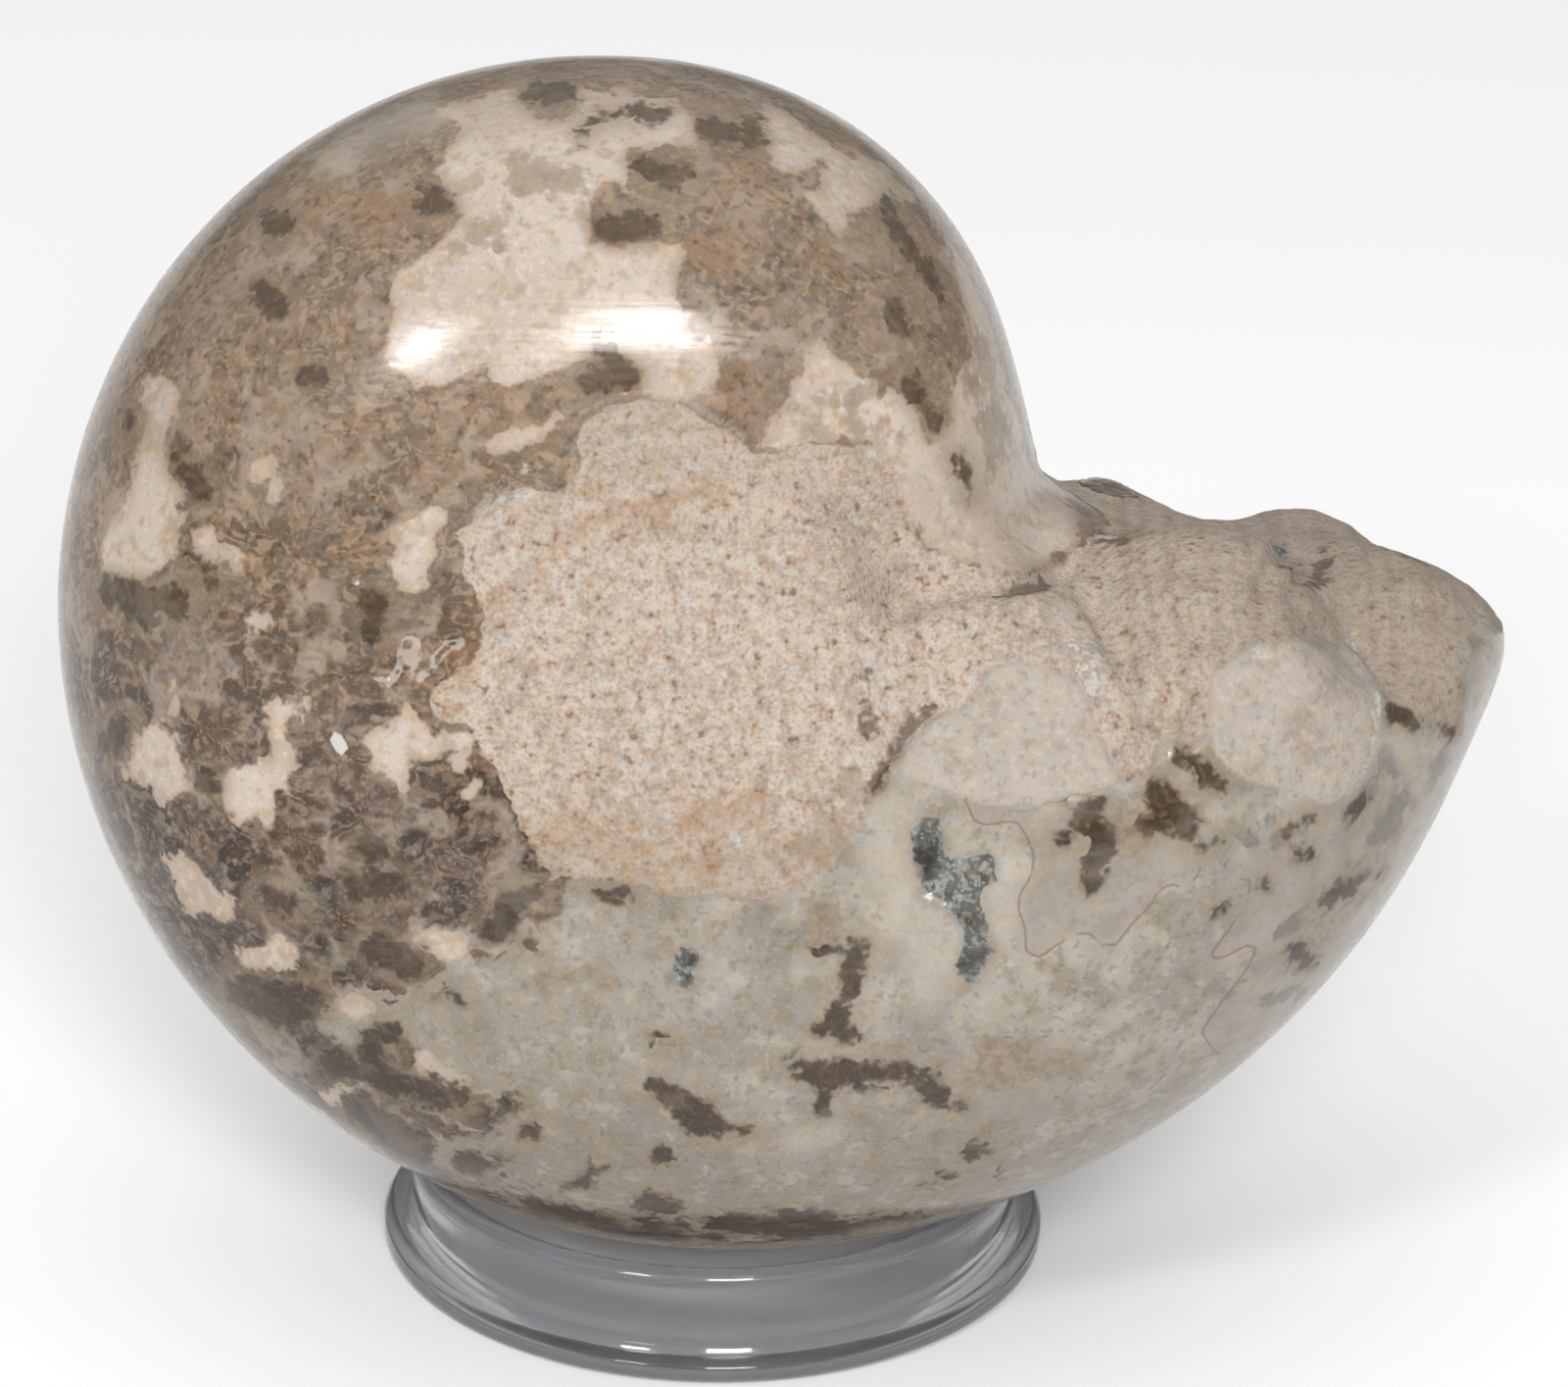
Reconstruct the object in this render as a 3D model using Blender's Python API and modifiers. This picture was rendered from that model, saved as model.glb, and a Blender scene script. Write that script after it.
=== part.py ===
"""An inflated coiled fossil shell, cut at its last chamber wall, standing in a clear ring.

Metres, +Z up. The front of the fossil, its left flank, looks along -Y.
"""

import math

import bmesh
import bpy
from mathutils import Vector

# The coil: its outer edge is a spiral that shrinks from the broken end back along the whorl.
# A turn angle runs from the break, down, under, and over the top to where the shell closes.
OUTER_RADIUS = 0.0634  # coil centre to the outer edge at the break
SPIRAL_RATE = 0.121  # share of its radius that the spiral loses in a radian
FULL_TURN = 2 * math.pi
# How far the outer edge stands proud of the spiral: at a turn angle, over a spread, by a height.
EDGE_SWELLS = (
    (0.0, math.radians(7), 0.0013),
    (math.radians(65), math.radians(28), -0.0004),
    (math.radians(150), math.radians(40), -0.0006),
    (math.radians(292), math.radians(24), 0.0007),
    (math.radians(338), math.radians(20), -0.0014),
)

# The cross-section: half the width of the whorl, and where along its radius it is widest.
HALF_WIDTH = 0.0322  # at the break, before its edge was rounded off
WIDTH_RATE = 0.080
WIDEST_AT = 0.47  # share of the whorl's radius
WIDEST_MIN = 0.0168
FLANK_FULLNESS = 0.90  # 1 is an ellipse, less is fuller
EDGE_ROUNDING = 0.15  # share of the width that is lost at the broken end
EDGE_ROUNDING_SPREAD = math.radians(15)

# The stone plug that fills the hollow at the coil's centre, on both flanks.
PLUG_RADIUS = 0.0143
PLUG_CENTRE = (0.0026, -0.0011)  # from the coil centre, in the plane of the coil
PLUG_HEIGHT = 0.0252  # from the middle plane to the plug's centre
PLUG_SLOPE_UP = -0.16  # it faces up: this much lower for each metre further up
PLUG_SLOPE_ALONG = 0.03
PLUG_DOME = 0.0010
CREASE_DEPTH = 0.0007  # the groove round the plug, deepest below the broken end
CREASE_AT = math.radians(35)
CREASE_SPREAD = math.radians(45)

# The broken end: the folded chamber wall, as heights over the plane through the coil's axis.
CREST_AT = 0.031  # along the radius
CREST_HEIGHT = 0.0034
CREST_FALL_OUT = 7.2  # metres of fall for each square metre of distance from the crest
CREST_FALL_IN = 24.0
CROWN_FALL = 0.0098  # from the middle plane to the flank
SIDE_TILT = 0.125  # the front flank's side is higher
# Pads: place along the radius, place across the width, half lengths both ways, height.
PADS = (
    (0.0250, 0.0225, 0.0085, 0.0080, 0.0034),
    (0.0420, 0.0165, 0.0082, 0.0110, 0.0038),
    (0.0560, 0.0040, 0.0070, 0.0090, 0.0026),
    (0.0340, -0.0185, 0.0052, 0.0090, 0.0030),
    (0.0505, -0.0150, 0.0060, 0.0095, 0.0032),
)
PAD_SHARPNESS = 1.5  # how square the shoulder of a pad is
# Folds between the pads: both ends as places along and across, half width, depth at each end.
FOLDS = (
    ((0.0300, 0.0150), (0.0365, 0.0300), 0.0032, 0.0014, 0.0042),
    ((0.0470, 0.0050), (0.0515, 0.0180), 0.0024, 0.0024, 0.0036),
    ((0.0515, 0.0180), (0.0540, 0.0280), 0.0036, 0.0036, 0.0052),
    ((0.0415, -0.0100), (0.0425, -0.0330), 0.0034, 0.0006, 0.0032),
    ((0.0560, -0.0060), (0.0580, -0.0220), 0.0032, 0.0008, 0.0036),
)

# The foot of the closing whorl spreads out on to the broken end.
CONTACT_RISE = 0.0026
CONTACT_REACH = 0.0026

# How the fossil stands: it leans back, and its coil centre is over a point near the ring's axis.
LEAN_BACK = math.radians(5.5)
COIL_PLACE = Vector((-0.0055, -0.0020, 0.0565))  # from the middle of the ring's foot

# The mesh of the fossil: columns go round the coil, rows from the front flank to the back one.
COLUMNS = 76
BREAK_COLUMNS = 14
BREAK_ON_PLUG = math.radians(14)  # either side of the break that its columns take on the plug
CROWDING = 0.6  # how much closer the columns are at the break than on average
PLUG_ROWS = 4
SHOULDER_ROWS = 4
FLANK_ROWS = 20
HALF_ROWS = PLUG_ROWS + SHOULDER_ROWS + FLANK_ROWS
MEETING_STEPS = 6  # rounds that find where a row meets the broken end
MEETING_LIMIT = 0.6
SMOOTHINGS = 2  # of the whole fossil, then of the broken end and its rim alone
RIM_SMOOTHINGS = 1
RIM_COLUMNS = 3

# The ring stand: a foot flange, a thin wall and a rounded lip that flares a little.
FOOT_RADIUS = 0.0250
FOOT_THICKNESS = 0.0015
FOOT_EDGE = 0.0003
RING_HEIGHT = 0.0081
WALL_RADIUS = 0.0229
LIP_RADIUS = 0.0233
LIP_THICKNESS = 0.0019
INNER_RADIUS = 0.0214
FILLET = 0.0006
RING_STEPS = 48


def clear_scene():
    for thing in list(bpy.data.objects):
        bpy.data.objects.remove(thing, do_unlink=True)


def ease(share):
    """Goes from 0 to 1 with no corner at either end."""
    share = min(max(share, 0.0), 1.0)
    return share * share * (3 - 2 * share)


def mix(first, second, share):
    return first + (second - first) * share


def outer_radius(turn):
    """Coil centre to the outer edge of the whorl."""
    radius = OUTER_RADIUS * math.exp(-SPIRAL_RATE * turn)
    for angle, spread, height in EDGE_SWELLS:
        radius += height * math.exp(-(((turn - angle) / spread) ** 2))
    return radius


def half_width(turn):
    rounding = EDGE_ROUNDING * math.exp(-((turn / EDGE_ROUNDING_SPREAD) ** 2))
    return HALF_WIDTH * math.exp(-WIDTH_RATE * turn) * (1 - rounding)


def plug_surface(turn, radius):
    """Height of the plug over the middle plane, at a place round the plug's own centre."""
    along = radius * math.cos(turn)
    up = -radius * math.sin(turn)
    dome = PLUG_DOME * (1 - (radius / PLUG_RADIUS) ** 2)
    return PLUG_HEIGHT + PLUG_SLOPE_ALONG * along + PLUG_SLOPE_UP * up + dome


def section(turn, row):
    """The whorl's surface at a turn angle and a row from 0, the plug's middle, to HALF_ROWS, the
    outer edge: (radius, height over the middle plane, share of the plug's own centre)."""
    outer = outer_radius(turn)
    widest = max(WIDEST_AT * outer, WIDEST_MIN)
    if row <= PLUG_ROWS:
        radius = PLUG_RADIUS * row / PLUG_ROWS
        return radius, plug_surface(turn, radius), 1.0
    edge = plug_surface(turn, PLUG_RADIUS)
    if row < PLUG_ROWS + SHOULDER_ROWS:
        share = (row - PLUG_ROWS) / SHOULDER_ROWS
        radius = mix(PLUG_RADIUS, widest, share)
        height = mix(edge, half_width(turn), math.sin(math.radians(90) * share))
        if row == PLUG_ROWS + 1:
            off = (turn - CREASE_AT) / CREASE_SPREAD
            height -= CREASE_DEPTH * math.exp(-off * off)
    else:
        climb = math.radians(90) * (row - PLUG_ROWS - SHOULDER_ROWS) / FLANK_ROWS
        radius = mix(widest, outer, math.sin(climb))
        height = half_width(turn) * max(math.cos(climb), 0.0) ** FLANK_FULLNESS
    return radius, height, (outer - radius) / (outer - PLUG_RADIUS)


def fold_depth(along, across, fold):
    """Depth of a fold at a place on the broken end."""
    start, end, spread, depth_start, depth_end = fold
    run = (end[0] - start[0], end[1] - start[1])
    length = run[0] * run[0] + run[1] * run[1]
    share = ((along - start[0]) * run[0] + (across - start[1]) * run[1]) / length
    share = min(max(share, 0.0), 1.0)
    off = math.hypot(along - start[0] - share * run[0], across - start[1] - share * run[1])
    return mix(depth_start, depth_end, share) * math.exp(-((off / spread) ** 2))


def break_height(along, across):
    """Height of the broken end over the plane through the coil's axis."""
    out = along - CREST_AT
    height = CREST_HEIGHT - (CREST_FALL_OUT if out > 0 else CREST_FALL_IN) * out * out
    height += SIDE_TILT * across - CROWN_FALL * (across / HALF_WIDTH) ** 2
    for pad_along, pad_across, reach_along, reach_across, rise in PADS:
        off = ((along - pad_along) / reach_along) ** 2 + ((across - pad_across) / reach_across) ** 2
        height += rise * math.exp(-(off**PAD_SHARPNESS))
    for fold in FOLDS:
        height -= fold_depth(along, across, fold)
    return height


def on_coil(turn, row, side):
    """A point of the whorl as (along, up, across)."""
    radius, height, own = section(turn, row)
    along = own * PLUG_CENTRE[0] + radius * math.cos(turn)
    up = own * PLUG_CENTRE[1] - radius * math.sin(turn)
    return along, up, side * height


def turn_at_break(row, side, far_end, raised=0.0):
    """The turn angle at which a row of the whorl meets the broken end, at one of its two ends."""
    turn = far_end
    for _ in range(MEETING_STEPS):
        along, _, across = on_coil(turn, row, side)
        radius, _, own = section(turn, row)
        height = break_height(along, across) + raised
        rise = (own * PLUG_CENTRE[1] - height) / max(radius, PLUG_RADIUS)
        turn = far_end + math.asin(min(max(rise, -MEETING_LIMIT), MEETING_LIMIT))
    return turn


def fossil_point(column, row):
    """Where a vertex of the sphere goes, in the plane of the coil: (along, up, across)."""
    side = 1 if row <= HALF_ROWS else -1
    row = min(row, 2 * HALF_ROWS - row)
    off_plug = ease((row - PLUG_ROWS) / SHOULDER_ROWS)
    spread = BREAK_ON_PLUG * (1 - off_plug)
    first = mix(spread, turn_at_break(row, side, 0.0), off_plug)
    last = mix(FULL_TURN - spread, turn_at_break(row, side, FULL_TURN, CONTACT_RISE), off_plug)
    whorl_columns = COLUMNS - BREAK_COLUMNS
    if column < whorl_columns:
        share = column / (whorl_columns - 1)
        share -= CROWDING * math.sin(FULL_TURN * share) / FULL_TURN
        return on_coil(mix(first, last, share), row, side)
    share = (column - whorl_columns + 1) / (BREAK_COLUMNS + 1)
    inner = on_coil(last, row, side)
    outer = on_coil(first, row, side)
    along, up, across = (mix(a, b, share) for a, b in zip(inner, outer))
    if row <= PLUG_ROWS:
        return on_coil(mix(last, first + FULL_TURN, share), row, side)
    height = break_height(along, across)
    height += CONTACT_RISE * math.exp(-(((along - inner[0]) / CONTACT_REACH) ** 2))
    return along, mix(up, height, off_plug), across


def stand_up(point):
    """Turns (along, up, across) into the world: across is towards -Y, leaning back."""
    along, up, across = point
    leaning = Vector(
        (
            along,
            up * math.sin(LEAN_BACK) - across * math.cos(LEAN_BACK),
            up * math.cos(LEAN_BACK) + across * math.sin(LEAN_BACK),
        )
    )
    return leaning + COIL_PLACE


def make_material(name, colour, roughness, alpha=1.0):
    material = bpy.data.materials.new(name)
    material.use_nodes = True
    shader = material.node_tree.nodes["Principled BSDF"]
    shader.inputs["Base Color"].default_value = (*colour, 1.0)
    shader.inputs["Roughness"].default_value = roughness
    shader.inputs["Metallic"].default_value = 0.0
    shader.inputs["Alpha"].default_value = alpha
    return material


def add_object(name, mesh, material, collection):
    thing = bpy.data.objects.new(name, mesh)
    mesh.materials.append(material)
    collection.objects.link(thing)
    return thing


def smooth(work, vertices, times):
    for _ in range(times):
        bmesh.ops.smooth_vert(
            work, verts=vertices, factor=0.5, use_axis_x=True, use_axis_y=True, use_axis_z=True
        )


def make_fossil(collection):
    """One closed solid: a sphere's rows and columns moved onto the coil and its broken end."""
    work = bmesh.new()
    bmesh.ops.create_uvsphere(work, u_segments=COLUMNS, v_segments=2 * HALF_ROWS, radius=1.0)
    rim = []
    for vertex in work.verts:
        row = round((math.pi / 2 - math.asin(vertex.co.z)) / math.pi * 2 * HALF_ROWS)
        angle = math.atan2(vertex.co.y, vertex.co.x) % FULL_TURN
        column = round(angle / FULL_TURN * COLUMNS) % COLUMNS
        vertex.co = stand_up(fossil_point(column, row))
        past_plug = min(row, 2 * HALF_ROWS - row) > PLUG_ROWS + SHOULDER_ROWS
        if past_plug and not RIM_COLUMNS <= column < COLUMNS - BREAK_COLUMNS - 1:
            rim.append(vertex)
    smooth(work, work.verts, SMOOTHINGS)
    smooth(work, rim, RIM_SMOOTHINGS)
    # The columns run clockwise seen from outside, which turned every face inwards.
    bmesh.ops.reverse_faces(work, faces=work.faces)
    mesh = bpy.data.meshes.new("ammonite")
    work.to_mesh(mesh)
    work.free()
    mesh.shade_smooth()
    mesh.set_sharp_from_angle(angle=math.radians(50))
    stone = make_material("polished stone", (0.42, 0.33, 0.25), 0.35)
    return add_object("ammonite", mesh, stone, collection)


def arc(centre, radius, start, end, steps):
    """Points on an arc in the profile's plane, from one angle to another."""
    angles = [math.radians(mix(start, end, step / steps)) for step in range(steps + 1)]
    return [(centre[0] + radius * math.cos(a), centre[1] + radius * math.sin(a)) for a in angles]


def ring_profile():
    """The ring's cut face as (radius, height), from the lip down the outside and back up inside."""
    lip = LIP_THICKNESS / 2
    points = arc((LIP_RADIUS - lip, RING_HEIGHT - lip), lip, 90, -30, 3)
    points.append((WALL_RADIUS, FOOT_THICKNESS + FILLET * 4))
    points.append((WALL_RADIUS + 0.0001, FOOT_THICKNESS + FILLET))
    points.append((WALL_RADIUS + FILLET, FOOT_THICKNESS))
    points.append((FOOT_RADIUS - FOOT_EDGE, FOOT_THICKNESS))
    points.append((FOOT_RADIUS, FOOT_THICKNESS - FOOT_EDGE))
    points.append((FOOT_RADIUS, FOOT_EDGE))
    points.append((FOOT_RADIUS - FOOT_EDGE, 0.0))
    points.append((INNER_RADIUS, 0.0))
    points.append((INNER_RADIUS, RING_HEIGHT - LIP_THICKNESS))
    points.extend(arc((LIP_RADIUS - lip, RING_HEIGHT - lip), lip, 170, 130, 1))
    return points


def make_ring(collection):
    """The stand, turned from its profile by a Screw modifier."""
    profile = ring_profile()
    work = bmesh.new()
    corners = [work.verts.new((radius, 0.0, height)) for radius, height in profile]
    for first, second in zip(corners, corners[1:] + corners[:1]):
        work.edges.new((first, second))
    mesh = bpy.data.meshes.new("ring_stand")
    work.to_mesh(mesh)
    work.free()
    plastic = make_material("clear plastic", (0.78, 0.80, 0.80), 0.08, alpha=0.35)
    ring = add_object("ring_stand", mesh, plastic, collection)
    turning = ring.modifiers.new("turning", "SCREW")
    turning.axis = "Z"
    turning.angle = FULL_TURN
    turning.steps = RING_STEPS
    turning.render_steps = RING_STEPS
    turning.use_merge_vertices = True
    turning.merge_threshold = 0.00001
    turning.use_smooth_shade = True
    return ring


def centre_footprint(things):
    """Moves everything sideways so that the middle of its outline, seen from above, is at 0, 0."""
    bpy.context.view_layer.update()
    graph = bpy.context.evaluated_depsgraph_get()
    points = []
    for thing in things:
        shown = thing.evaluated_get(graph)
        points += [thing.matrix_world @ vertex.co for vertex in shown.data.vertices]
    middle = [(min(p[i] for p in points) + max(p[i] for p in points)) / 2 for i in range(2)]
    for thing in things:
        thing.location = (-middle[0], -middle[1], 0.0)


def main():
    clear_scene()
    collection = bpy.data.collections.new("fossil on ring stand")
    bpy.context.scene.collection.children.link(collection)
    fossil = make_fossil(collection)
    ring = make_ring(collection)
    centre_footprint([fossil, ring])
    print("ring axis at", [round(value, 5) for value in ring.location[:2]])


main()
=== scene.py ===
# %% [markdown]
# # A polished ammonite on its clear display ring
#
# The fossil is one lump of rock: an inflated coiled shell whose outside was ground and polished,
# with matte rock left in its centre and on its broken end. It sits in a small ring of clear
# plastic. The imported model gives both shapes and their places, and this lesson dresses them.

import math

import bmesh
import bpy
import numpy as np
from mathutils import Matrix, Vector, noise
from mathutils.bvhtree import BVHTree


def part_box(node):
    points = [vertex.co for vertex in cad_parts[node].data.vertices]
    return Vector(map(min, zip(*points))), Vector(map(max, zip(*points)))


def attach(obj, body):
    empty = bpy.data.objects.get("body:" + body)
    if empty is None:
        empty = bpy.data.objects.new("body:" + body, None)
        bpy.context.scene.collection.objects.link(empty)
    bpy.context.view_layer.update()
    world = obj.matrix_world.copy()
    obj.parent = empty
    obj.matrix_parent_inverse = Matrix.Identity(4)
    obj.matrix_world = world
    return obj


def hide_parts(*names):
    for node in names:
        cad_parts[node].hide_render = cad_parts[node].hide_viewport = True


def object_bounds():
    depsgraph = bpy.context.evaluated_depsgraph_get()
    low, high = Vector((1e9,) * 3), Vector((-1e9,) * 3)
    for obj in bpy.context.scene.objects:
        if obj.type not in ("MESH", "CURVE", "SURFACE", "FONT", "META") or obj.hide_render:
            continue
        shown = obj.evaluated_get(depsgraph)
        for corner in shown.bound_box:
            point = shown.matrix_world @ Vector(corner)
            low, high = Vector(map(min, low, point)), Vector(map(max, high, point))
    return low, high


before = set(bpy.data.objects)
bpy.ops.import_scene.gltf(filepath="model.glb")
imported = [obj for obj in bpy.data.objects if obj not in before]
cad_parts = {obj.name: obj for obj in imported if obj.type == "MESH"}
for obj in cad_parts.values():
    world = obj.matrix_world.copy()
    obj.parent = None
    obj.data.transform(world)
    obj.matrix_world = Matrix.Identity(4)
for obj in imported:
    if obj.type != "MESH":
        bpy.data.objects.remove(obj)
cad_low, cad_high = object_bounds()
MM = 0.001
print("packed model, mm:", [round((b - a) / MM, 1) for a, b in zip(cad_low, cad_high)])

# %% [markdown]
# ## Meshes and objects
#
# Shapes are built as a bmesh, which is easy to edit, and then written to a mesh. A mesh, a lamp or
# a camera shows only when an object in the scene holds it.


# %% Two helpers for objects
def finished_mesh(name, shape):
    """A mesh made from a bmesh, which is freed."""
    mesh = bpy.data.meshes.new(name)
    shape.to_mesh(mesh)
    shape.free()
    return mesh


def add_object(name, data):
    """An object in the scene that holds a mesh, a lamp or a camera."""
    thing = bpy.data.objects.new(name, data)
    bpy.context.scene.collection.objects.link(thing)
    return thing


# %% [markdown]
# ## The camera
#
# The photograph looks down on the fossil by about 24 degrees with a long lens, and its frame is
# turned by less than a degree. The ring's foot is a circle of known size, so its ellipse gave the
# distance. The camera is placed from the middle of that foot.

# %% Place the camera
PHOTO_WIDTH = 1600
PHOTO_HEIGHT = 1415
SENSOR_WIDTH = 36.0
FOCAL_LENGTH = 164.8  # mm, on that sensor
CAMERA_FROM_RING = Vector((4.8, -485.2, 259.0)) * MM
LOOKS_DOWN = math.radians(23.87)
ROLL = math.radians(0.9)

ring_low, ring_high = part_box("ring_stand")
ring_centre = Vector(((ring_low[0] + ring_high[0]) / 2, (ring_low[1] + ring_high[1]) / 2, 0.0))
lens = bpy.data.cameras.new("photo_camera")
lens.sensor_width = SENSOR_WIDTH
lens.lens = FOCAL_LENGTH
camera = add_object("photo_camera", lens)
camera.matrix_world = (
    Matrix.Translation(ring_centre + CAMERA_FROM_RING)
    @ Matrix.Rotation(math.radians(90) - LOOKS_DOWN, 4, "X")
    @ Matrix.Rotation(ROLL, 4, "Z")
)
bpy.context.scene.camera = camera
focal_pixels = FOCAL_LENGTH / SENSOR_WIDTH * PHOTO_WIDTH
print("camera at, mm:", [round(v / MM) for v in camera.matrix_world.translation])

# %% [markdown]
# ## Colours and nodes
#
# Colours are written as the hex values that a paint program shows, and one function turns them
# to the linear values that shaders use. One more starts a material with what is the same all over
# it, and one adds a node, sets it and links it.


# %% Three helpers for materials
def linear(code):
    """A hex colour such as "d8c4ae" as linear RGBA."""
    shares = [int(code[i : i + 2], 16) / 255 for i in (0, 2, 4)]
    return [s / 12.92 if s <= 0.04045 else ((s + 0.055) / 1.055) ** 2.4 for s in shares] + [1.0]


def finish(name, values):
    """A new material with the same values all over."""
    material = bpy.data.materials.new(name)
    material.use_nodes = True
    for socket, value in values.items():
        material.node_tree.nodes["Principled BSDF"].inputs[socket].default_value = value
    return material


def add_node(tree, kind, sockets=None, **settings):
    """Outputs of a new node; each socket gets a value, or a link from another node's output."""
    node = tree.nodes.new("ShaderNode" + kind)
    for name, value in settings.items():
        setattr(node, name, value)
    for socket, value in (sockets or {}).items():
        if isinstance(value, bpy.types.NodeSocket):
            tree.links.new(value, node.inputs[socket])
        else:
            node.inputs[socket].default_value = value
    return node.outputs


print("cream in linear light:", [round(v, 3) for v in linear("d8c4ae")])

# %% [markdown]
# ## The fossil's own shape
#
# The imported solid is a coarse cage, so a copy of it is merged, its triangles are joined to quads
# and it is subdivided, which rounds it. A voxel remesh then spreads small faces evenly over the
# polished shell and the rough rock alike, so that grain and creases can be raised anywhere.

# %% Round and remesh a copy of the solid
VOXEL = 0.55 * MM
MERGE_DISTANCE = 0.001 * MM
QUAD_ANGLE = math.radians(60)

cage = bmesh.new()
cage.from_mesh(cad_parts["ammonite"].data)
bmesh.ops.remove_doubles(cage, verts=cage.verts, dist=MERGE_DISTANCE)
bmesh.ops.join_triangles(
    cage, faces=cage.faces, angle_face_threshold=QUAD_ANGLE, angle_shape_threshold=QUAD_ANGLE
)
cage_object = add_object("fossil_cage", finished_mesh("fossil_cage", cage))
rounding = cage_object.modifiers.new("rounding", "SUBSURF")
rounding.levels = 2
even_faces = cage_object.modifiers.new("even faces", "REMESH")
even_faces.mode = "VOXEL"
even_faces.voxel_size = VOXEL
graph = bpy.context.evaluated_depsgraph_get()
stone_mesh = bpy.data.meshes.new_from_object(cage_object.evaluated_get(graph))
stone_mesh.name = "polished_fossil"
bpy.data.objects.remove(cage_object)

shape = bmesh.new()
shape.from_mesh(stone_mesh)
SMOOTHINGS = 3
for _ in range(SMOOTHINGS):
    bmesh.ops.smooth_vert(
        shape, verts=shape.verts, factor=0.5, use_axis_x=True, use_axis_y=True, use_axis_z=True
    )
shape.normal_update()
surface_tree = BVHTree.FromBMesh(shape)
shape.to_mesh(stone_mesh)
shape.free()
point_count = len(stone_mesh.vertices)
print("fossil surface:", point_count, "points,", len(stone_mesh.polygons), "faces")

# %% [markdown]
# ## Where the camera sees each point
#
# The markings of a stone are one of a kind, so they are placed one by one: each patch is a short
# outline of pixels of the photograph. Every point of the surface is looked up in the picture,
# and the points that the camera can't see are marked, so that they get patches made by noise.

# %% Look every point up in the picture
HIDDEN_GAP = 0.5 * MM

places = np.empty(point_count * 3)
stone_mesh.vertices.foreach_get("co", places)
places = places.reshape(-1, 3)
normals = np.empty(point_count * 3)
stone_mesh.vertex_normals.foreach_get("vector", normals)
normals = normals.reshape(-1, 3)

camera_place = np.array(camera.matrix_world.translation)
camera_turn = np.array(camera.matrix_world.to_3x3())
rays = places - camera_place
ray_lengths = np.linalg.norm(rays, axis=1)
seen_from = rays @ camera_turn
pixels = np.stack(
    (
        PHOTO_WIDTH / 2 - focal_pixels * seen_from[:, 0] / seen_from[:, 2],
        PHOTO_HEIGHT / 2 + focal_pixels * seen_from[:, 1] / seen_from[:, 2],
    ),
    axis=1,
)
facing = -(normals * rays).sum(axis=1) / ray_lengths


def is_open(index):
    """Whether nothing of the fossil stands between the camera and a point."""
    ray = Vector(rays[index])
    reach = ray.length - HIDDEN_GAP
    return surface_tree.ray_cast(Vector(camera_place), ray, reach)[0] is None


in_view = np.array([facing[i] > 0 and is_open(i) for i in range(point_count)])
print("points in view:", int(in_view.sum()))

# %% [markdown]
# ## Fields of depth
#
# Each kind of marking becomes one number at each point: how many millimetres the point lies
# inside the nearest patch, and less than nothing outside. Such a field stays smooth from point to
# point, so the shader can cut it with fine noise and get edges sharper than the faces.

# %% Depth inside an outline, and round a line
PIXEL = 0.0751  # mm on the fossil for one pixel of the photograph
FAR_AWAY = 1000.0
FIELD_LIMIT = 20.0


def ease(field, start, end):
    """From 0 to 1 as a field goes from start to end."""
    share = np.clip((field - start) / (end - start), 0, 1)
    return share * share * (3 - 2 * share)


def distance_to_line(points, start, end):
    run = np.subtract(end, start)
    along = ((points - start) @ run) / max(run @ run, 1e-9)
    nearest = start + np.clip(along, 0, 1)[:, None] * run
    return np.linalg.norm(points - nearest, axis=1)


def inside_depth(points, outline):
    """Pixels inside a closed outline, negative outside it."""
    corners = np.array(outline, float)
    depth = np.full(len(points), FAR_AWAY)
    inside = np.zeros(len(points), bool)
    for start, end in zip(corners, np.roll(corners, -1, axis=0)):
        depth = np.minimum(depth, distance_to_line(points, start, end))
        crosses = (start[1] > points[:, 1]) != (end[1] > points[:, 1])
        rise = end[1] - start[1] if end[1] != start[1] else 1e-9
        meets = start[0] + (points[:, 1] - start[1]) / rise * (end[0] - start[0])
        inside ^= crosses & (points[:, 0] < meets)
    return np.where(inside, depth, -depth)


def patch_depth(outlines):
    """Millimetres inside the nearest of several outlines."""
    depth = np.full(point_count, -FAR_AWAY)
    for outline in outlines.values():
        depth[in_view] = np.maximum(depth[in_view], inside_depth(pixels[in_view], outline))
    return depth * PIXEL


def brush_depth(strokes):
    """Millimetres inside brush strokes, each a list of (x, y, half width) in pixels."""
    depth = np.full(point_count, -FAR_AWAY)
    for stroke in strokes.values():
        points = np.array(stroke, float)
        if len(points) == 1:
            points = np.repeat(points, 2, axis=0)
        for start, end in zip(points[:-1], points[1:]):
            reach = (start[2] + end[2]) / 2
            inside = reach - distance_to_line(pixels[in_view], start[:2], end[:2])
            depth[in_view] = np.maximum(depth[in_view], inside)
    return depth * PIXEL


def waves(size, seed, rough=3):
    """Smooth noise from about -1 to 1 at each point, with bumps of a size in millimetres."""
    shift = Vector((seed * 17.3, seed * 5.1, seed * 9.7))
    scale = 1 / (size * MM)
    return np.array([noise.fractal(Vector(p) * scale + shift, 0.8, 2.0, rough) for p in places])
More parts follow.
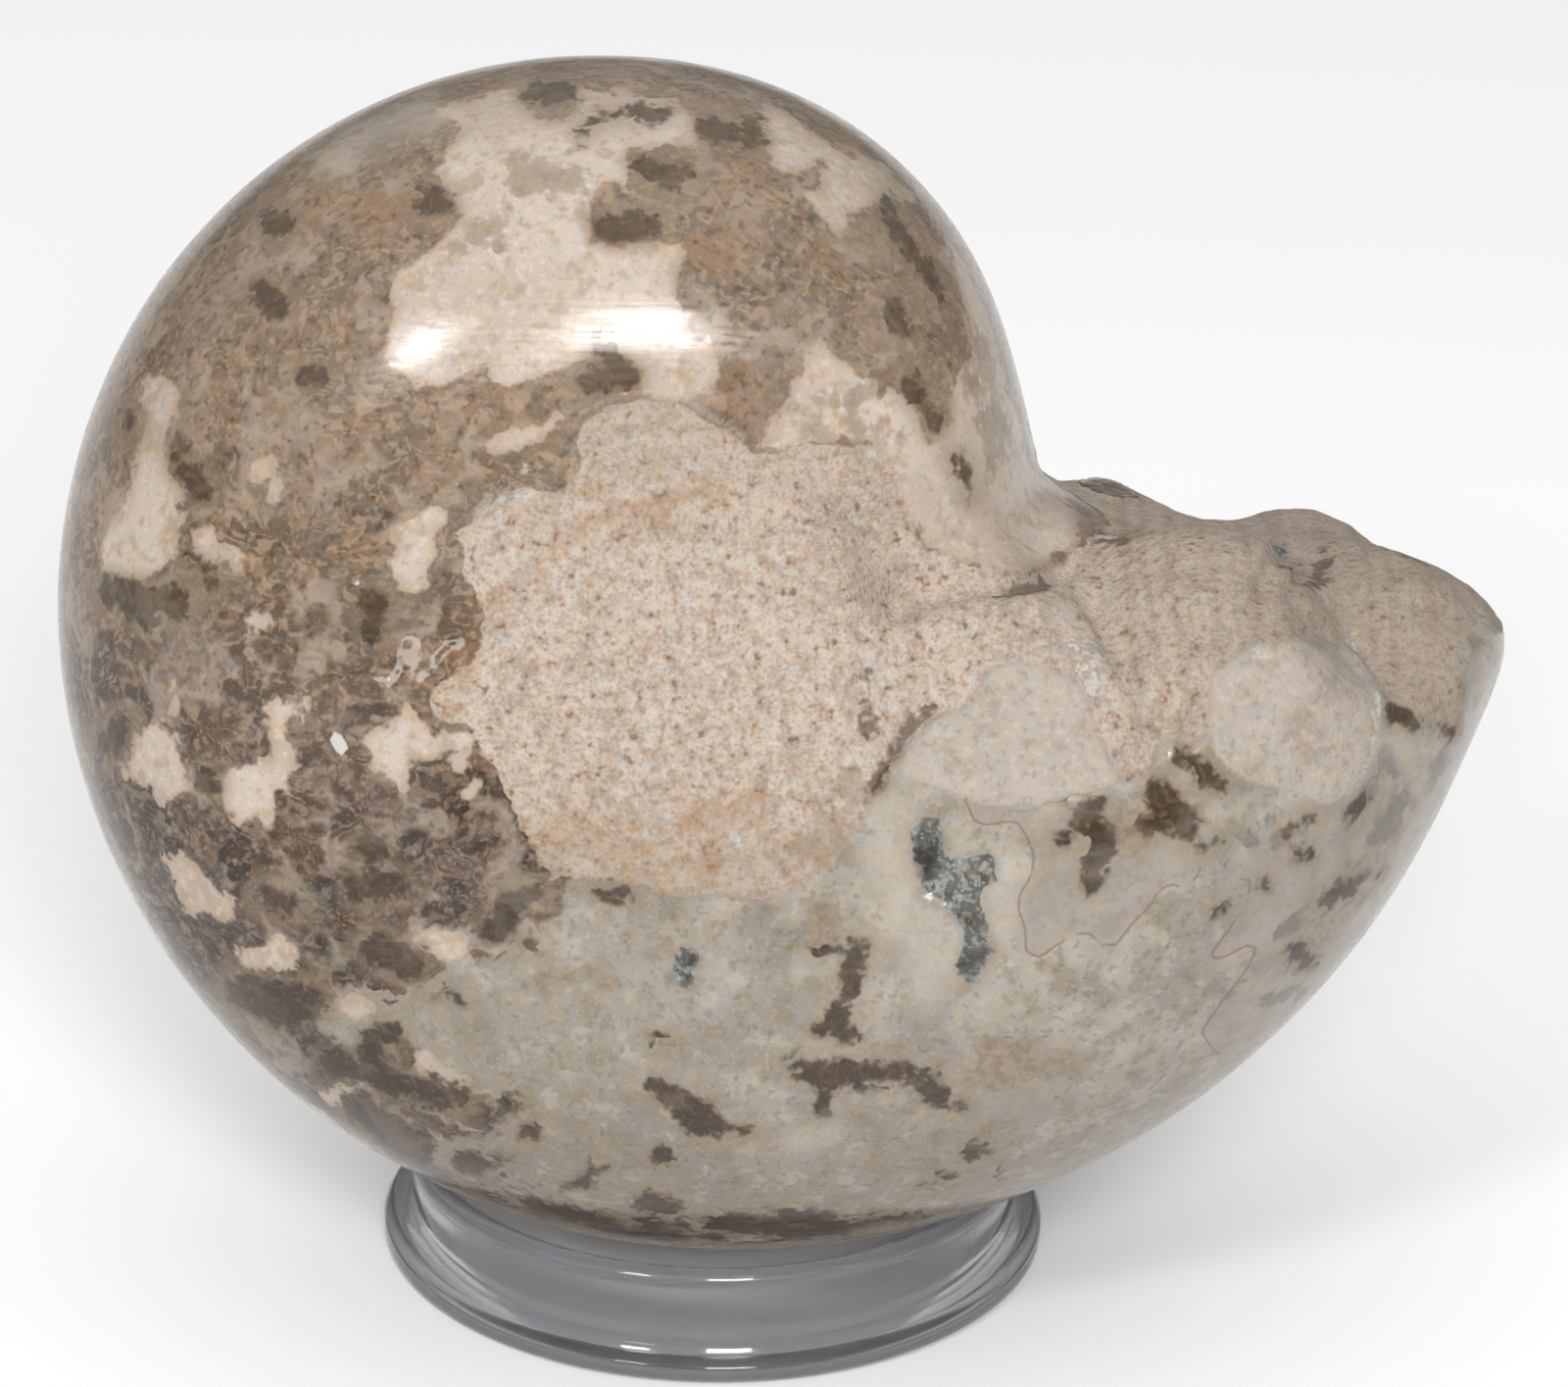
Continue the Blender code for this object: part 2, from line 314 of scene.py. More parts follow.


# %% [markdown]
# ## The markings
#
# Each list is a patch traced in pixels of the photograph. Cream is old shell, stone is
# the beige filling of the chambers, rock was never ground, and the pocket holds dark crystals.

# %% Cream patches
CREAM = {
    "big patch": [
        (446, 110), (472, 137), (446, 171), (461, 198), (465, 225), (446, 248), (430, 259),
        (407, 274), (400, 290), (407, 313), (392, 343), (392, 359), (400, 378), (423, 389),
        (446, 399), (469, 393), (488, 378), (499, 374), (503, 393), (518, 399), (545, 385),
        (572, 381), (590, 372), (612, 352), (630, 372), (652, 380), (655, 400), (690, 408),
        (728, 402), (730, 370), (712, 352), (700, 330), (690, 300), (690, 280), (696, 262),
        (694, 248), (675, 248), (644, 251), (617, 250), (602, 240), (598, 221), (602, 205),
        (617, 186), (652, 200), (646, 171), (637, 161), (656, 152), (686, 152), (709, 150),
        (713, 137), (702, 114), (686, 100), (656, 94), (610, 91), (591, 91), (587, 112),
        (560, 120), (545, 115), (534, 105), (525, 90), (505, 95), (480, 105),
    ],
    "crest band": [
        (769, 125), (782, 112), (802, 118), (828, 136), (855, 148), (880, 160), (904, 175),
        (935, 200), (930, 208), (904, 205), (885, 213), (866, 217), (862, 232), (855, 240),
        (851, 228), (843, 205), (843, 190), (836, 171), (820, 175), (797, 175), (790, 156),
        (786, 137),
    ],
    "crest blob": [(820, 197), (836, 198), (848, 206), (853, 236), (840, 226), (828, 210)],
    "outer flank": [
        (958, 259), (972, 272), (977, 290), (985, 328), (989, 366), (966, 393), (969, 416),
        (962, 447), (947, 447), (943, 424), (927, 404), (904, 397), (897, 404), (893, 389),
        (874, 374), (862, 366), (843, 351), (828, 355), (820, 374), (809, 393), (805, 420),
        (786, 435), (782, 452), (800, 464), (830, 452), (890, 448), (916, 484), (916, 505),
        (930, 534), (948, 560), (976, 574), (1010, 584), (1050, 584), (1107, 553), (1100, 520),
        (1060, 470), (1030, 400), (1010, 330), (990, 280), (970, 245),
    ],
    "left band": [
        (139, 396), (163, 380), (186, 393), (179, 426), (169, 453), (173, 483), (185, 497),
        (184, 530), (173, 546), (183, 559), (173, 576), (156, 589), (116, 589), (96, 576),
        (100, 549), (116, 532), (129, 506), (133, 486), (143, 453), (149, 426), (136, 410),
    ],
    "comma": [
        (202, 546), (212, 537), (221, 541), (222, 552), (239, 557), (251, 562), (249, 586),
        (239, 586), (229, 572), (216, 576), (202, 569), (199, 559),
    ],
    "hook": [
        (252, 474), (272, 466), (279, 474), (274, 483), (289, 493), (284, 514), (274, 513),
        (272, 493), (259, 489),
    ],
    "drop": [(251, 625), (269, 622), (277, 637), (265, 640), (259, 649), (247, 637)],
    "beside the plug": [
        (398, 585), (395, 572), (411, 559), (398, 546), (411, 532), (431, 513), (455, 509),
        (455, 529), (443, 546), (443, 566), (433, 579), (435, 595), (418, 605), (405, 592),
    ],
    "sliver": [
        (494, 453), (518, 440), (554, 433), (572, 424), (551, 446), (531, 458), (504, 459),
    ],
    "sliver dot": [(528, 478), (534, 471), (541, 478), (535, 486)],
    "vein dot": [(456, 438), (464, 434), (468, 446), (462, 450)],
    "thin drip": [(458, 472), (464, 474), (466, 498), (460, 500)],
    "left patch": [
        (139, 741), (173, 735), (184, 754), (190, 770), (193, 806), (176, 820), (163, 821),
        (156, 800), (123, 790), (133, 766),
    ],
    "drip above it": [(173, 690), (180, 690), (184, 722), (176, 724)],
    "lightning": [
        (269, 721), (292, 711), (312, 712), (315, 741), (296, 738), (289, 745), (297, 766),
        (299, 806), (294, 813), (282, 806), (281, 849), (269, 846), (261, 834), (246, 839),
        (232, 820), (226, 803), (229, 783), (252, 776), (279, 780), (282, 760), (276, 740),
    ],
    "flame": [
        (371, 758), (398, 741), (415, 721), (431, 735), (445, 751), (471, 741), (484, 752),
        (478, 768), (455, 762), (438, 776), (421, 770), (415, 800), (407, 811), (392, 796),
        (378, 773),
    ],
    "flame spots": [(456, 778), (466, 768), (478, 776), (474, 790), (462, 793)],
    "flame foot": [(471, 802), (484, 794), (492, 800), (486, 812), (474, 814)],
    "low left": [
        (169, 872), (189, 869), (206, 889), (226, 906), (242, 925), (239, 939), (212, 932),
        (196, 932), (183, 909), (173, 889),
    ],
    "low fang": [
        (279, 945), (292, 952), (302, 988), (285, 992), (259, 985), (246, 988), (239, 965),
        (265, 969), (275, 959),
    ],
    "low chip": [(348, 1024), (362, 1020), (378, 1026), (372, 1038), (354, 1036)],
    "low fold": [
        (418, 1075), (435, 1068), (455, 1091), (478, 1105), (471, 1115), (448, 1108),
        (425, 1091),
    ],
    "low rim": [(325, 1120), (345, 1108), (372, 1104), (366, 1116), (340, 1128)],
    "low inlet": [
        (418, 959), (455, 952), (478, 959), (474, 979), (455, 982), (438, 972),
    ],
    "foot chip": [(735, 1264), (755, 1259), (778, 1264), (770, 1276), (745, 1278)],
}
print("cream patches:", len(CREAM))

# %% Beige stone, matte rock, the crystal pocket and the grey fillings
STONE = {
    "lower right": [
        (565, 890), (560, 915), (533, 946), (500, 962), (460, 950), (420, 957), (443, 986),
        (420, 1010), (380, 1018), (345, 1032), (350, 1045), (395, 1050), (410, 1075),
        (445, 1108), (478, 1120), (505, 1112), (525, 1122), (500, 1142), (455, 1150),
        (432, 1165), (440, 1188), (470, 1202), (520, 1222), (580, 1245), (680, 1262),
        (800, 1270), (900, 1262), (960, 1250), (1060, 1230), (1400, 1100), (1600, 700),
        (1600, 600), (1500, 560), (1300, 560), (1100, 600), (900, 640), (880, 760),
        (800, 850), (700, 880), (600, 880),
    ],
}
ROCK = {
    "plug and broken end": [
        (461, 544), (479, 534), (508, 509), (536, 498), (572, 503), (590, 484), (594, 466),
        (583, 455), (597, 426), (629, 414), (654, 408), (690, 412), (708, 419), (726, 434),
        (751, 448), (772, 466), (797, 462), (811, 451), (861, 455), (890, 451), (904, 466),
        (915, 484), (915, 505), (929, 534), (947, 559), (976, 573), (1010, 583), (1050, 583),
        (1085, 570), (1107, 552), (1130, 535), (1200, 510), (1300, 495), (1400, 505),
        (1413, 560), (1464, 578), (1500, 600), (1524, 622), (1524, 637), (1502, 641),
        (1489, 669), (1489, 720), (1485, 742), (1464, 737), (1439, 716), (1411, 711),
        (1405, 694), (1384, 669), (1354, 653), (1312, 652), (1279, 653), (1249, 678),
        (1237, 703), (1237, 745), (1216, 758), (1190, 752), (1178, 770), (1165, 792),
        (1144, 796), (1131, 775), (1117, 745), (1110, 707), (1094, 690), (1068, 680),
        (1035, 676), (1009, 682), (995, 705), (980, 728), (950, 733), (925, 758), (905, 785),
        (886, 805), (886, 830), (854, 862), (831, 886), (814, 905), (781, 915), (726, 915),
        (682, 912), (659, 903), (615, 896), (558, 890), (543, 862), (526, 830), (511, 801),
        (494, 766), (476, 741), (440, 728), (440, 702), (479, 680), (490, 658), (493, 630),
        (483, 608), (472, 580), (476, 558),
    ],
}
POCKETS = {
    "crystal pocket": [
        (933, 846), (944, 837), (957, 839), (964, 853), (964, 868), (983, 873), (1012, 871),
        (1017, 882), (1014, 900), (1005, 911), (1005, 932), (1007, 953), (1014, 968),
        (1005, 993), (991, 1003), (976, 987), (983, 971), (981, 946), (965, 925), (937, 914),
        (944, 893), (935, 868),
    ],
    "hole in the broken end": [(1294, 552), (1312, 549), (1322, 562), (1318, 576), (1302, 566)],
    "crystals in the stone": [
        (693, 968), (706, 965), (713, 974), (706, 990), (702, 1004), (692, 1002), (684, 992),
        (690, 980),
    ],
}
FILLINGS = {
    "suture lobe": [
        (982, 812), (987, 821), (994, 837), (1005, 842), (1023, 839), (1037, 838), (1046, 850),
        (1055, 871), (1053, 893), (1041, 911), (1039, 928), (1046, 946), (1047, 971),
        (1062, 977), (1075, 966), (1094, 953), (1112, 952), (1123, 964), (1139, 964),
        (1155, 943), (1173, 925), (1183, 907), (1196, 902), (1210, 907), (1221, 896),
        (1228, 878), (1200, 845), (1120, 812),
    ],
    "outer lobe": [
        (1249, 880), (1253, 896), (1276, 898), (1274, 921), (1258, 943), (1237, 971),
        (1237, 978), (1251, 976), (1273, 964), (1282, 968), (1273, 989), (1258, 1007),
        (1237, 1036), (1226, 1053), (1241, 1075), (1330, 1060), (1480, 900), (1500, 780),
        (1420, 760), (1330, 830),
    ],
    "low lobe": [
        (951, 1091), (987, 1071), (1012, 1057), (1030, 1057), (1044, 1066), (1066, 1057),
        (1087, 1053), (1108, 1061), (1114, 1085), (1094, 1107), (1076, 1121), (1073, 1143),
        (987, 1139), (983, 1128),
    ],
}
SUTURES = {
    "suture lobe": [
        (982, 812, 9), (994, 837, 9), (1037, 838, 9), (1055, 871, 9), (1041, 911, 9),
        (1047, 971, 9), (1062, 977, 9), (1112, 952, 9), (1139, 964, 9), (1196, 902, 9),
        (1225, 890, 9),
    ],
    "outer lobe": [
        (1249, 880, 9), (1276, 898, 9), (1237, 975, 9), (1282, 966, 9), (1226, 1053, 9),
        (1241, 1075, 9),
    ],
    "low lobe": [(951, 1091, 6), (1030, 1057, 6), (1110, 1060, 6), (1076, 1121, 6)],
}
print("grey fillings:", len(FILLINGS))

# %% [markdown]
# Stains, crystals and chips are small, so a few strokes of a round brush are enough for each; some
# dark and pale strokes are painted shade and painted sheen. A stroke is a list of (x, y, half
# width), again in pixels of the photograph.

# %% Stains, painted shade and painted sheen as brush strokes
DARK = {
    "top spot": [(548, 95, 13), (572, 99, 14)],
    "under the arc": [(660, 172, 11), (703, 175, 14), (680, 186, 10)],
    "dark pair": [(625, 232, 14), (662, 228, 16)],
    "arc": [(597, 134, 4), (612, 121, 4), (640, 114, 3), (676, 116, 4)],
    "right of the arc": [(725, 130, 14), (762, 136, 16)],
    "grey bits": [(612, 352, 10), (640, 385, 12), (600, 390, 14)],
    "flank oval": [(915, 310, 15), (918, 330, 13)],
    "flank tail": [(930, 392, 12), (953, 430, 9)],
    "flank streak": [(905, 205, 5), (930, 250, 8), (960, 300, 6)],
    "outer diamond": [(976, 470, 5), (984, 482, 8), (990, 505, 4)],
    "upper left olive": [(275, 222, 14), (292, 228, 12)],
    "upper left oval": [(268, 300, 15), (280, 312, 10)],
    "upper left right": [(432, 205, 13), (452, 210, 12)],
    "upper left small": [(310, 384, 8), (326, 384, 7)],
    "left oval": [(132, 424, 10), (133, 434, 9)],
    "left strip": [(184, 455, 9), (188, 480, 10), (205, 500, 9)],
    "left field": [(115, 605, 16), (150, 620, 18), (180, 612, 12)],
    "left fold": [(195, 575, 8), (212, 580, 8), (215, 600, 6)],
    "middle": [(383, 615, 10), (382, 645, 12)],
    "left edge": [(105, 760, 12), (122, 740, 12)],
    "beside lightning": [(212, 792, 10), (218, 800, 8)],
    "low cell": [(275, 915, 16), (292, 922, 14)],
    "grey cell": [(380, 868, 14)],
    "low middle": [(370, 905, 16), (400, 905, 14)],
    "low red": [(385, 965, 18), (420, 985, 16)],
    "low band": [(245, 1010, 16), (290, 1030, 20), (315, 1020, 16)],
    "rim band": [(340, 1085, 10), (380, 1092, 12), (412, 1108, 12)],
    "lower rim": [(370, 1130, 12), (400, 1160, 24), (425, 1175, 16)],
    "rim corner": [(440, 1110, 14), (470, 1122, 10)],
    "under the plug": [(505, 950, 14), (520, 925, 16), (548, 912, 8)],
    "cells by the inlet": [(398, 1058, 14), (380, 1065, 10)],
    "inlet cell": [(462, 1012, 10), (474, 1025, 8)],
    "pit": [(537, 1152, 7), (545, 1150, 7)],
    "foot brown": [(470, 1190, 12), (505, 1188, 12)],
    # painted shade: the fossil's lower edge darkened where it sits over the ring
    "foot edge": [(440, 1203, 8), (495, 1218, 9), (560, 1234, 9), (620, 1250, 8), (700, 1262, 7)],
    "small fork": [(578, 1212, 5), (600, 1205, 5), (608, 1190, 4)],
    "reddish pit": [(622, 912, 8), (634, 914, 10)],
    "crystal dots": [(673, 1064, 5), (688, 1066, 4)],
    "stone cell": [(543, 964, 7), (553, 968, 6)],
    "slanting patch": [(662, 1108, 5), (690, 1122, 13), (715, 1140, 14), (740, 1152, 9)],
    "slanting tail": [(750, 1152, 8), (764, 1154, 6)],
    "tan column": [(845, 968, 11), (880, 966, 12), (862, 995, 13), (866, 1018, 8)],
    "dark column": [(848, 1046, 11), (866, 1056, 12), (850, 1028, 10)],
    "band": [(815, 1086, 7), (840, 1100, 17), (880, 1092, 14), (920, 1096, 15), (960, 1118, 9)],
    "band tail": [(960, 1118, 9), (980, 1127, 4)],
    "band foot": [(838, 1118, 10), (836, 1130, 6)],
    "low oval": [(660, 1226, 13), (684, 1230, 14)],
    # painted shade along the lower edge, as the foot edge stroke
    "foot field": [(735, 1250, 10), (780, 1248, 14), (825, 1246, 14), (860, 1252, 8)],
    "small specks": [(676, 1180, 5)],
    "right streak": [(940, 1211, 4), (972, 1209, 4)],
    "right chip": [(992, 1173, 6), (1005, 1168, 6)],
    "right dot": [(1019, 1195, 4)],
    # painted shade along the lower edge, as the foot edge stroke
    "foot band": [(870, 1250, 4), (900, 1246, 5), (945, 1240, 4)],
    "right patch one": [(1092, 822, 12), (1120, 818, 12), (1098, 842, 12), (1086, 858, 5)],
    "right patch two": [(1126, 852, 8), (1118, 880, 11), (1115, 895, 8)],
    "right patch three": [(1185, 808, 12), (1200, 830, 16), (1212, 850, 8), (1165, 842, 9)],
    "right patch four": [(1200, 775, 9), (1222, 788, 9), (1248, 803, 4)],
    "right bits": [(1225, 866, 7), (1240, 858, 5)],
    "outer bits": [(1312, 850, 8), (1335, 838, 6)],
    "outer brown": [(1322, 876, 7), (1336, 870, 5)],
    "outer slant": [(1345, 925, 6), (1375, 905, 6), (1400, 890, 4)],
    "outer grey": [(1292, 900, 6)],
    "outer low": [(1328, 975, 9)],
    "outer high": [(1380, 828, 5), (1402, 815, 5)],
    "small brown": [(1242, 928, 5)],
    # painted shade: dark in the crack under the tip
    "under the tip": [(1420, 725, 6), (1434, 732, 7), (1446, 742, 6), (1480, 748, 5)],
    "pocket shadows": [(950, 860, 8), (945, 890, 5), (944, 862, 6)],
    "pocket dots": [(1007, 968, 5), (1000, 975, 4)],
    "pocket foot": [(985, 985, 4), (990, 992, 3)],
    "whorl base stain": [(1110, 543, 4), (1130, 550, 7), (1145, 552, 5)],
    # these three are painted shade: dark lines in the creases above the first pad and beside the
    # plug
    "rock crease": [(1016, 606, 5), (1040, 596, 7), (1066, 590, 4)],
    "plug crease": [(950, 722, 4), (908, 773, 5), (891, 798, 4)],
    "plug side": [(880, 650, 3), (884, 690, 4), (885, 745, 4)],
    "break pits": [(1328, 578, 5), (1345, 594, 5), (1350, 560, 5)],
}
TAN = {
    "stain in the cream": [(480, 240, 18), (505, 232, 16)],
    "speckled stain": [(530, 180, 12), (585, 185, 14)],
    "ovals": [(850, 400, 17), (878, 405, 15)],
    "grey strip": [(825, 440, 8), (860, 436, 9), (895, 436, 7)],
    "outer tan": [(998, 350, 8), (1005, 400, 12), (1020, 460, 16)],
    "amber pane": [(875, 240, 18), (895, 250, 18)],
    "pit halo": [(540, 1138, 18)],
    "stone cells": [(528, 1000, 12), (606, 996, 9)],
    "stone smudge": [(820, 930, 14), (840, 940, 8)],
    "right lobe": [(1150, 840, 16), (1200, 845, 20)],
    "low lobe": [(1000, 1090, 20), (1080, 1085, 22)],
    "outer edge": [(1440, 790, 14), (1400, 880, 18), (1340, 960, 16)],
    "rock top": [(1130, 540, 9), (1160, 545, 6)],
    # painted shade: the plug's lower rim darkened where it meets the polished flank
    "plug rim": [(800, 880, 12), (850, 845, 12), (880, 800, 10)],
}
RUST = {
    "upper left": [(330, 205, 22), (400, 210, 26)],
    "crest": [(765, 175, 26), (735, 258, 20)],
    "crest streak": [(853, 250, 6), (866, 290, 6)],
    "flank": [(925, 365, 15)],
    "above the plug": [(760, 380, 20), (765, 415, 18)],
    "left": [(500, 610, 10), (470, 710, 18)],
    "plug foot": [(700, 835, 20), (770, 838, 22)],
    "plug low": [(560, 850, 18), (640, 870, 18), (720, 880, 16)],
    "plug arc": [(560, 560, 14), (640, 520, 12), (740, 510, 10)],
    "between pads": [(1205, 745, 14)],
    "pits": [(1330, 590, 10)],
}
PALE = {
    "round the pocket": [
        (915, 830, 16), (905, 880, 24), (945, 960, 22), (945, 1010, 16), (1030, 880, 12),
        (1022, 950, 16),
    ],
    "below the tip": [(1430, 765, 9), (1445, 800, 8)],
    # painted sheen: the top of the outline lightened, as a reflection of the bright surround
    "upper left edge": [(340, 165, 14), (390, 130, 20), (440, 118, 16)],
    "chip on the plug": [(755, 852, 9)],
    # painted sheen: a light grey shine near the lower outline
    "light oval": [(810, 1166, 8), (850, 1158, 9)],
}
FACETS = {
    "first facet": [
        (925, 760), (950, 735), (985, 722), (1000, 700), (1015, 682), (1035, 676), (1060, 680),
        (1085, 692), (1102, 702), (1108, 722), (1118, 745), (1128, 762), (1136, 785),
        (1145, 798), (1120, 806), (1090, 812), (1050, 822), (1000, 820), (975, 810), (950, 802),
        (920, 792),
    ],
    "second facet": [
        (1236, 740), (1237, 700), (1250, 676), (1275, 662), (1300, 656), (1330, 655), (1352, 664),
        (1375, 680), (1390, 700), (1396, 725), (1396, 755), (1390, 785), (1378, 810),
        (1350, 818), (1320, 808), (1290, 800), (1262, 790), (1242, 772),
    ],
}
GREY = {
    "on the second facet": [(1352, 712, 5), (1358, 695, 5), (1360, 680, 3)],
    "spray one": [(1290, 838, 4), (1298, 834, 4)],
    "spray two": [(1268, 860, 5), (1280, 856, 4)],
    "spray three": [(1302, 858, 6), (1310, 848, 6)],
    "spray four": [(1312, 862, 4), (1324, 848, 6), (1340, 840, 6)],
    "spray five": [(1318, 880, 7), (1335, 870, 6)],
    "triangle": [(1372, 834, 4), (1390, 820, 7), (1400, 806, 5)],
    "bar": [(1406, 800, 3), (1408, 835, 5)],
    "outer field": [(1405, 855, 8), (1422, 835, 10), (1432, 812, 8)],
    "outer edge": [(1460, 800, 7), (1470, 780, 7)],
    "long streak": [
        (1318, 932, 2), (1340, 922, 4), (1352, 912, 5), (1375, 903, 5), (1395, 896, 6),
        (1415, 885, 6),
    ],
    "second streak": [(1348, 932, 4), (1380, 920, 5), (1400, 905, 5)],
    "oval": [(1290, 903, 7), (1296, 905, 7)],
    "low oval": [(1325, 972, 8), (1330, 985, 9), (1320, 990, 6)],
    "low bits": [(1302, 955, 4), (1318, 945, 4)],
    "low streak": [(1255, 1014, 5), (1268, 1000, 4)],
    "low field": [(1290, 1022, 6), (1330, 1010, 5)],
    "below the crack": [(1415, 770, 5), (1420, 785, 5), (1430, 798, 4)],
    "dot": [(1384, 880, 4)],
}
CRUST = {
    "corner of the first facet": [(1070, 662, 7), (1096, 656, 10), (1106, 674, 11), (1121, 692, 8)],
    "below that corner": [(1112, 706, 6), (1120, 716, 4)],
    "ridge": [(1112, 650, 2.5), (1120, 665, 3), (1127, 678, 3)],
    "crest": [(975, 621, 2), (1003, 620, 3), (1035, 619, 2.5), (1066, 612, 2.5), (1082, 606, 3)],
    "line under the crest": [(1052, 633, 2), (1078, 628, 2.5)],
    "right of the ridge": [(1154, 700, 3), (1164, 714, 3)],
    "top of the second facet": [(1262, 669, 3), (1280, 664, 6), (1292, 667, 6)],
    "beside the second facet": [(1232, 686, 3), (1234, 692, 3)],
    "crack rim": [(1340, 606, 3), (1365, 624, 3), (1385, 650, 3), (1393, 668, 6)],
    "crack rim below": [(1400, 676, 6), (1407, 700, 4), (1402, 735, 5), (1399, 760, 5)],
    "crack foot": [(1398, 765, 4), (1390, 785, 3), (1378, 806, 2.5)],
    "pit between the pads": [(1191, 757, 7), (1187, 768, 4)],
    "tip": [(1505, 618, 3), (1512, 635, 2.5)],
    "upper plug": [(640, 452, 5), (655, 448, 4)],
    "right of the plug top": [(885, 470, 7), (895, 462, 5)],
    "plug edge": [(480, 530, 4), (500, 512, 5), (560, 500, 3)],
    "chip on the plug": [(752, 852, 8), (758, 862, 7)],
}
VEINS = {  # each outline is a hair line of white calcite
    "loop by the plug": [
        (383, 692), (396, 694), (404, 682), (407, 665), (412, 652), (420, 648), (428, 655),
        (429, 668), (426, 682), (430, 696), (424, 694), (420, 678), (422, 664), (418, 658),
        (412, 668), (409, 688), (398, 700),
    ],
    "second loop": [
        (438, 688), (443, 668), (455, 655), (474, 652), (468, 660), (456, 664), (449, 676),
    ],
}
RIDGES = {
    "first pad crest": [
        (885, 662, 9), (964, 632, 10), (1006, 620, 11), (1050, 617, 11), (1083, 608, 10),
        (1104, 647, 9), (1127, 690, 8),
    ],
    "second pad crest": [
        (1102, 585, 9), (1132, 566, 11), (1175, 555, 11), (1231, 552, 11), (1287, 561, 10),
        (1309, 577, 9),
    ],
    "crack rim": [
        (1337, 603, 8), (1380, 648, 9), (1405, 694, 9), (1407, 725, 9), (1399, 770, 8),
        (1386, 797, 7),
    ],
    "third pad crest": [(1440, 590, 8), (1480, 606, 9), (1512, 632, 8)],
}
GROOVES = {
    "beside the plug": [(884, 640, 8), (884, 700, 9), (888, 745, 9), (905, 775, 8), (950, 726, 8)],
    "above the first pad": [(960, 606, 7), (1000, 596, 8), (1050, 592, 8), (1090, 582, 8)],
    "between the pads": [(1118, 612, 7), (1140, 660, 8), (1165, 720, 8), (1185, 765, 9)],
    "crack": [(1330, 585, 7), (1362, 618, 8), (1396, 668, 7), (1420, 712, 7)],
    "under the tip": [(1425, 728, 7), (1462, 746, 7), (1486, 752, 6)],
    "pits": [(1204, 772, 9), (1310, 560, 10), (1345, 575, 8)],
}
CHIPS = {
    "left chip": [(343, 753, 7), (349, 764, 6)],
    "crest speck": [(761, 300, 4)],
    "low speck": [(721, 346, 5)],
    "left speck": [(363, 594, 4)],
    "vein": [(396, 692, 3)],
}
# counts the strokes of stains, of painted shade and of painted sheen
print("stains:", sum(len(stains_shade_and_sheen) for stains_shade_and_sheen in (DARK, TAN, RUST, PALE, GREY, CRUST, CHIPS)))

# %% [markdown]
# On the sides that the photograph doesn't show, noise takes over: patches of the same sizes, a
# plug on the far flank as on the near one, and rock all over the broken end. The two are mixed
# near the outline, where the camera looks along the surface.

# %% Fields for the seen and the hidden sides
COIL_FROM_RING = Vector((-5.5, -2.0, 56.5)) * MM  # the coil's centre, from the middle of the foot
LEAN_BACK = math.radians(5.5)
PLUG_AT = (2.6, -1.1)  # mm from the coil's centre, in its plane
PLUG_REACH = 17.0
BREAK_START = 12.0  # mm from the coil's centre towards the broken end
BREAK_HEIGHT = 1.0  # mm above that centre, with the reach up and down
BREAK_REACH = 8.0
HIDDEN_LIMIT = 6.0
SEEN_FROM, SEEN_WELL = 0.04, 0.22  # how far a point must face the camera

coil_centre = np.array(ring_centre + COIL_FROM_RING)
from_coil = (places - coil_centre) / MM
up_axis = np.array((0.0, math.sin(LEAN_BACK), math.cos(LEAN_BACK)))
along = from_coil[:, 0]
up = from_coil @ up_axis
broken = BREAK_REACH - np.abs(up - BREAK_HEIGHT)
broken = np.minimum(broken, (normals @ up_axis) * 12 - 4)  # only where the face looks up
broken = np.minimum(broken, along - BREAK_START)
plug = PLUG_REACH - np.hypot(along - PLUG_AT[0], up - PLUG_AT[1])

nowhere = np.full(point_count, -FIELD_LIMIT)
patches = waves(12, 1)
off_rock = np.where(broken > -2, -3, 0) + np.where(plug > -1, -3, 0)
hidden_fields = {
    "cream": patches * 6 - 1.6,
    "stone": waves(30, 2, 1) * 12 + along / 4 - up / 6,
    "rock": np.maximum(broken, plug + patches * 2),
    "pocket": nowhere,
    "filling": waves(16, 10, 1) * 8 - 3,
    "dark": off_rock + waves(7, 9, 2) * 4 - 1.6,
    "tan": waves(9, 12, 2) * 5 - 2,
    "rust": waves(14, 13, 2) * 6 - 2.5,
    "pale": waves(11, 14, 2) * 6 - 3,
    "grey": waves(5, 16, 2) * 4 - 2.4,
    "facet": nowhere,
    "crust": waves(4, 17, 2) * 3 - 2.2,
    "chip": nowhere,
}
outlines = {"pocket": POCKETS, "filling": FILLINGS, "facet": FACETS}
strokes = {"dark": DARK, "tan": TAN, "rust": RUST, "pale": PALE, "grey": GREY, "crust": CRUST}
picture_fields = {
    "cream": patch_depth(CREAM) + waves(2.5, 3) * 0.35,
    "stone": patch_depth(STONE) + waves(5, 4) * 1.2,
    "rock": patch_depth(ROCK) + waves(2, 5) * 0.2,
    "chip": brush_depth(CHIPS),
}
picture_fields.update({name: patch_depth(marks) for name, marks in outlines.items()})
picture_fields.update({name: brush_depth(marks) for name, marks in strokes.items()})
trust = np.where(in_view, ease(facing, SEEN_FROM, SEEN_WELL), 0.0)
fields = {}
for name, hidden_field in hidden_fields.items():
    picture_field = np.clip(picture_fields[name], -FIELD_LIMIT, FIELD_LIMIT)
    hidden_field = np.clip(hidden_field, -HIDDEN_LIMIT, HIDDEN_LIMIT)
    fields[name] = picture_field * trust + hidden_field * (1 - trust)
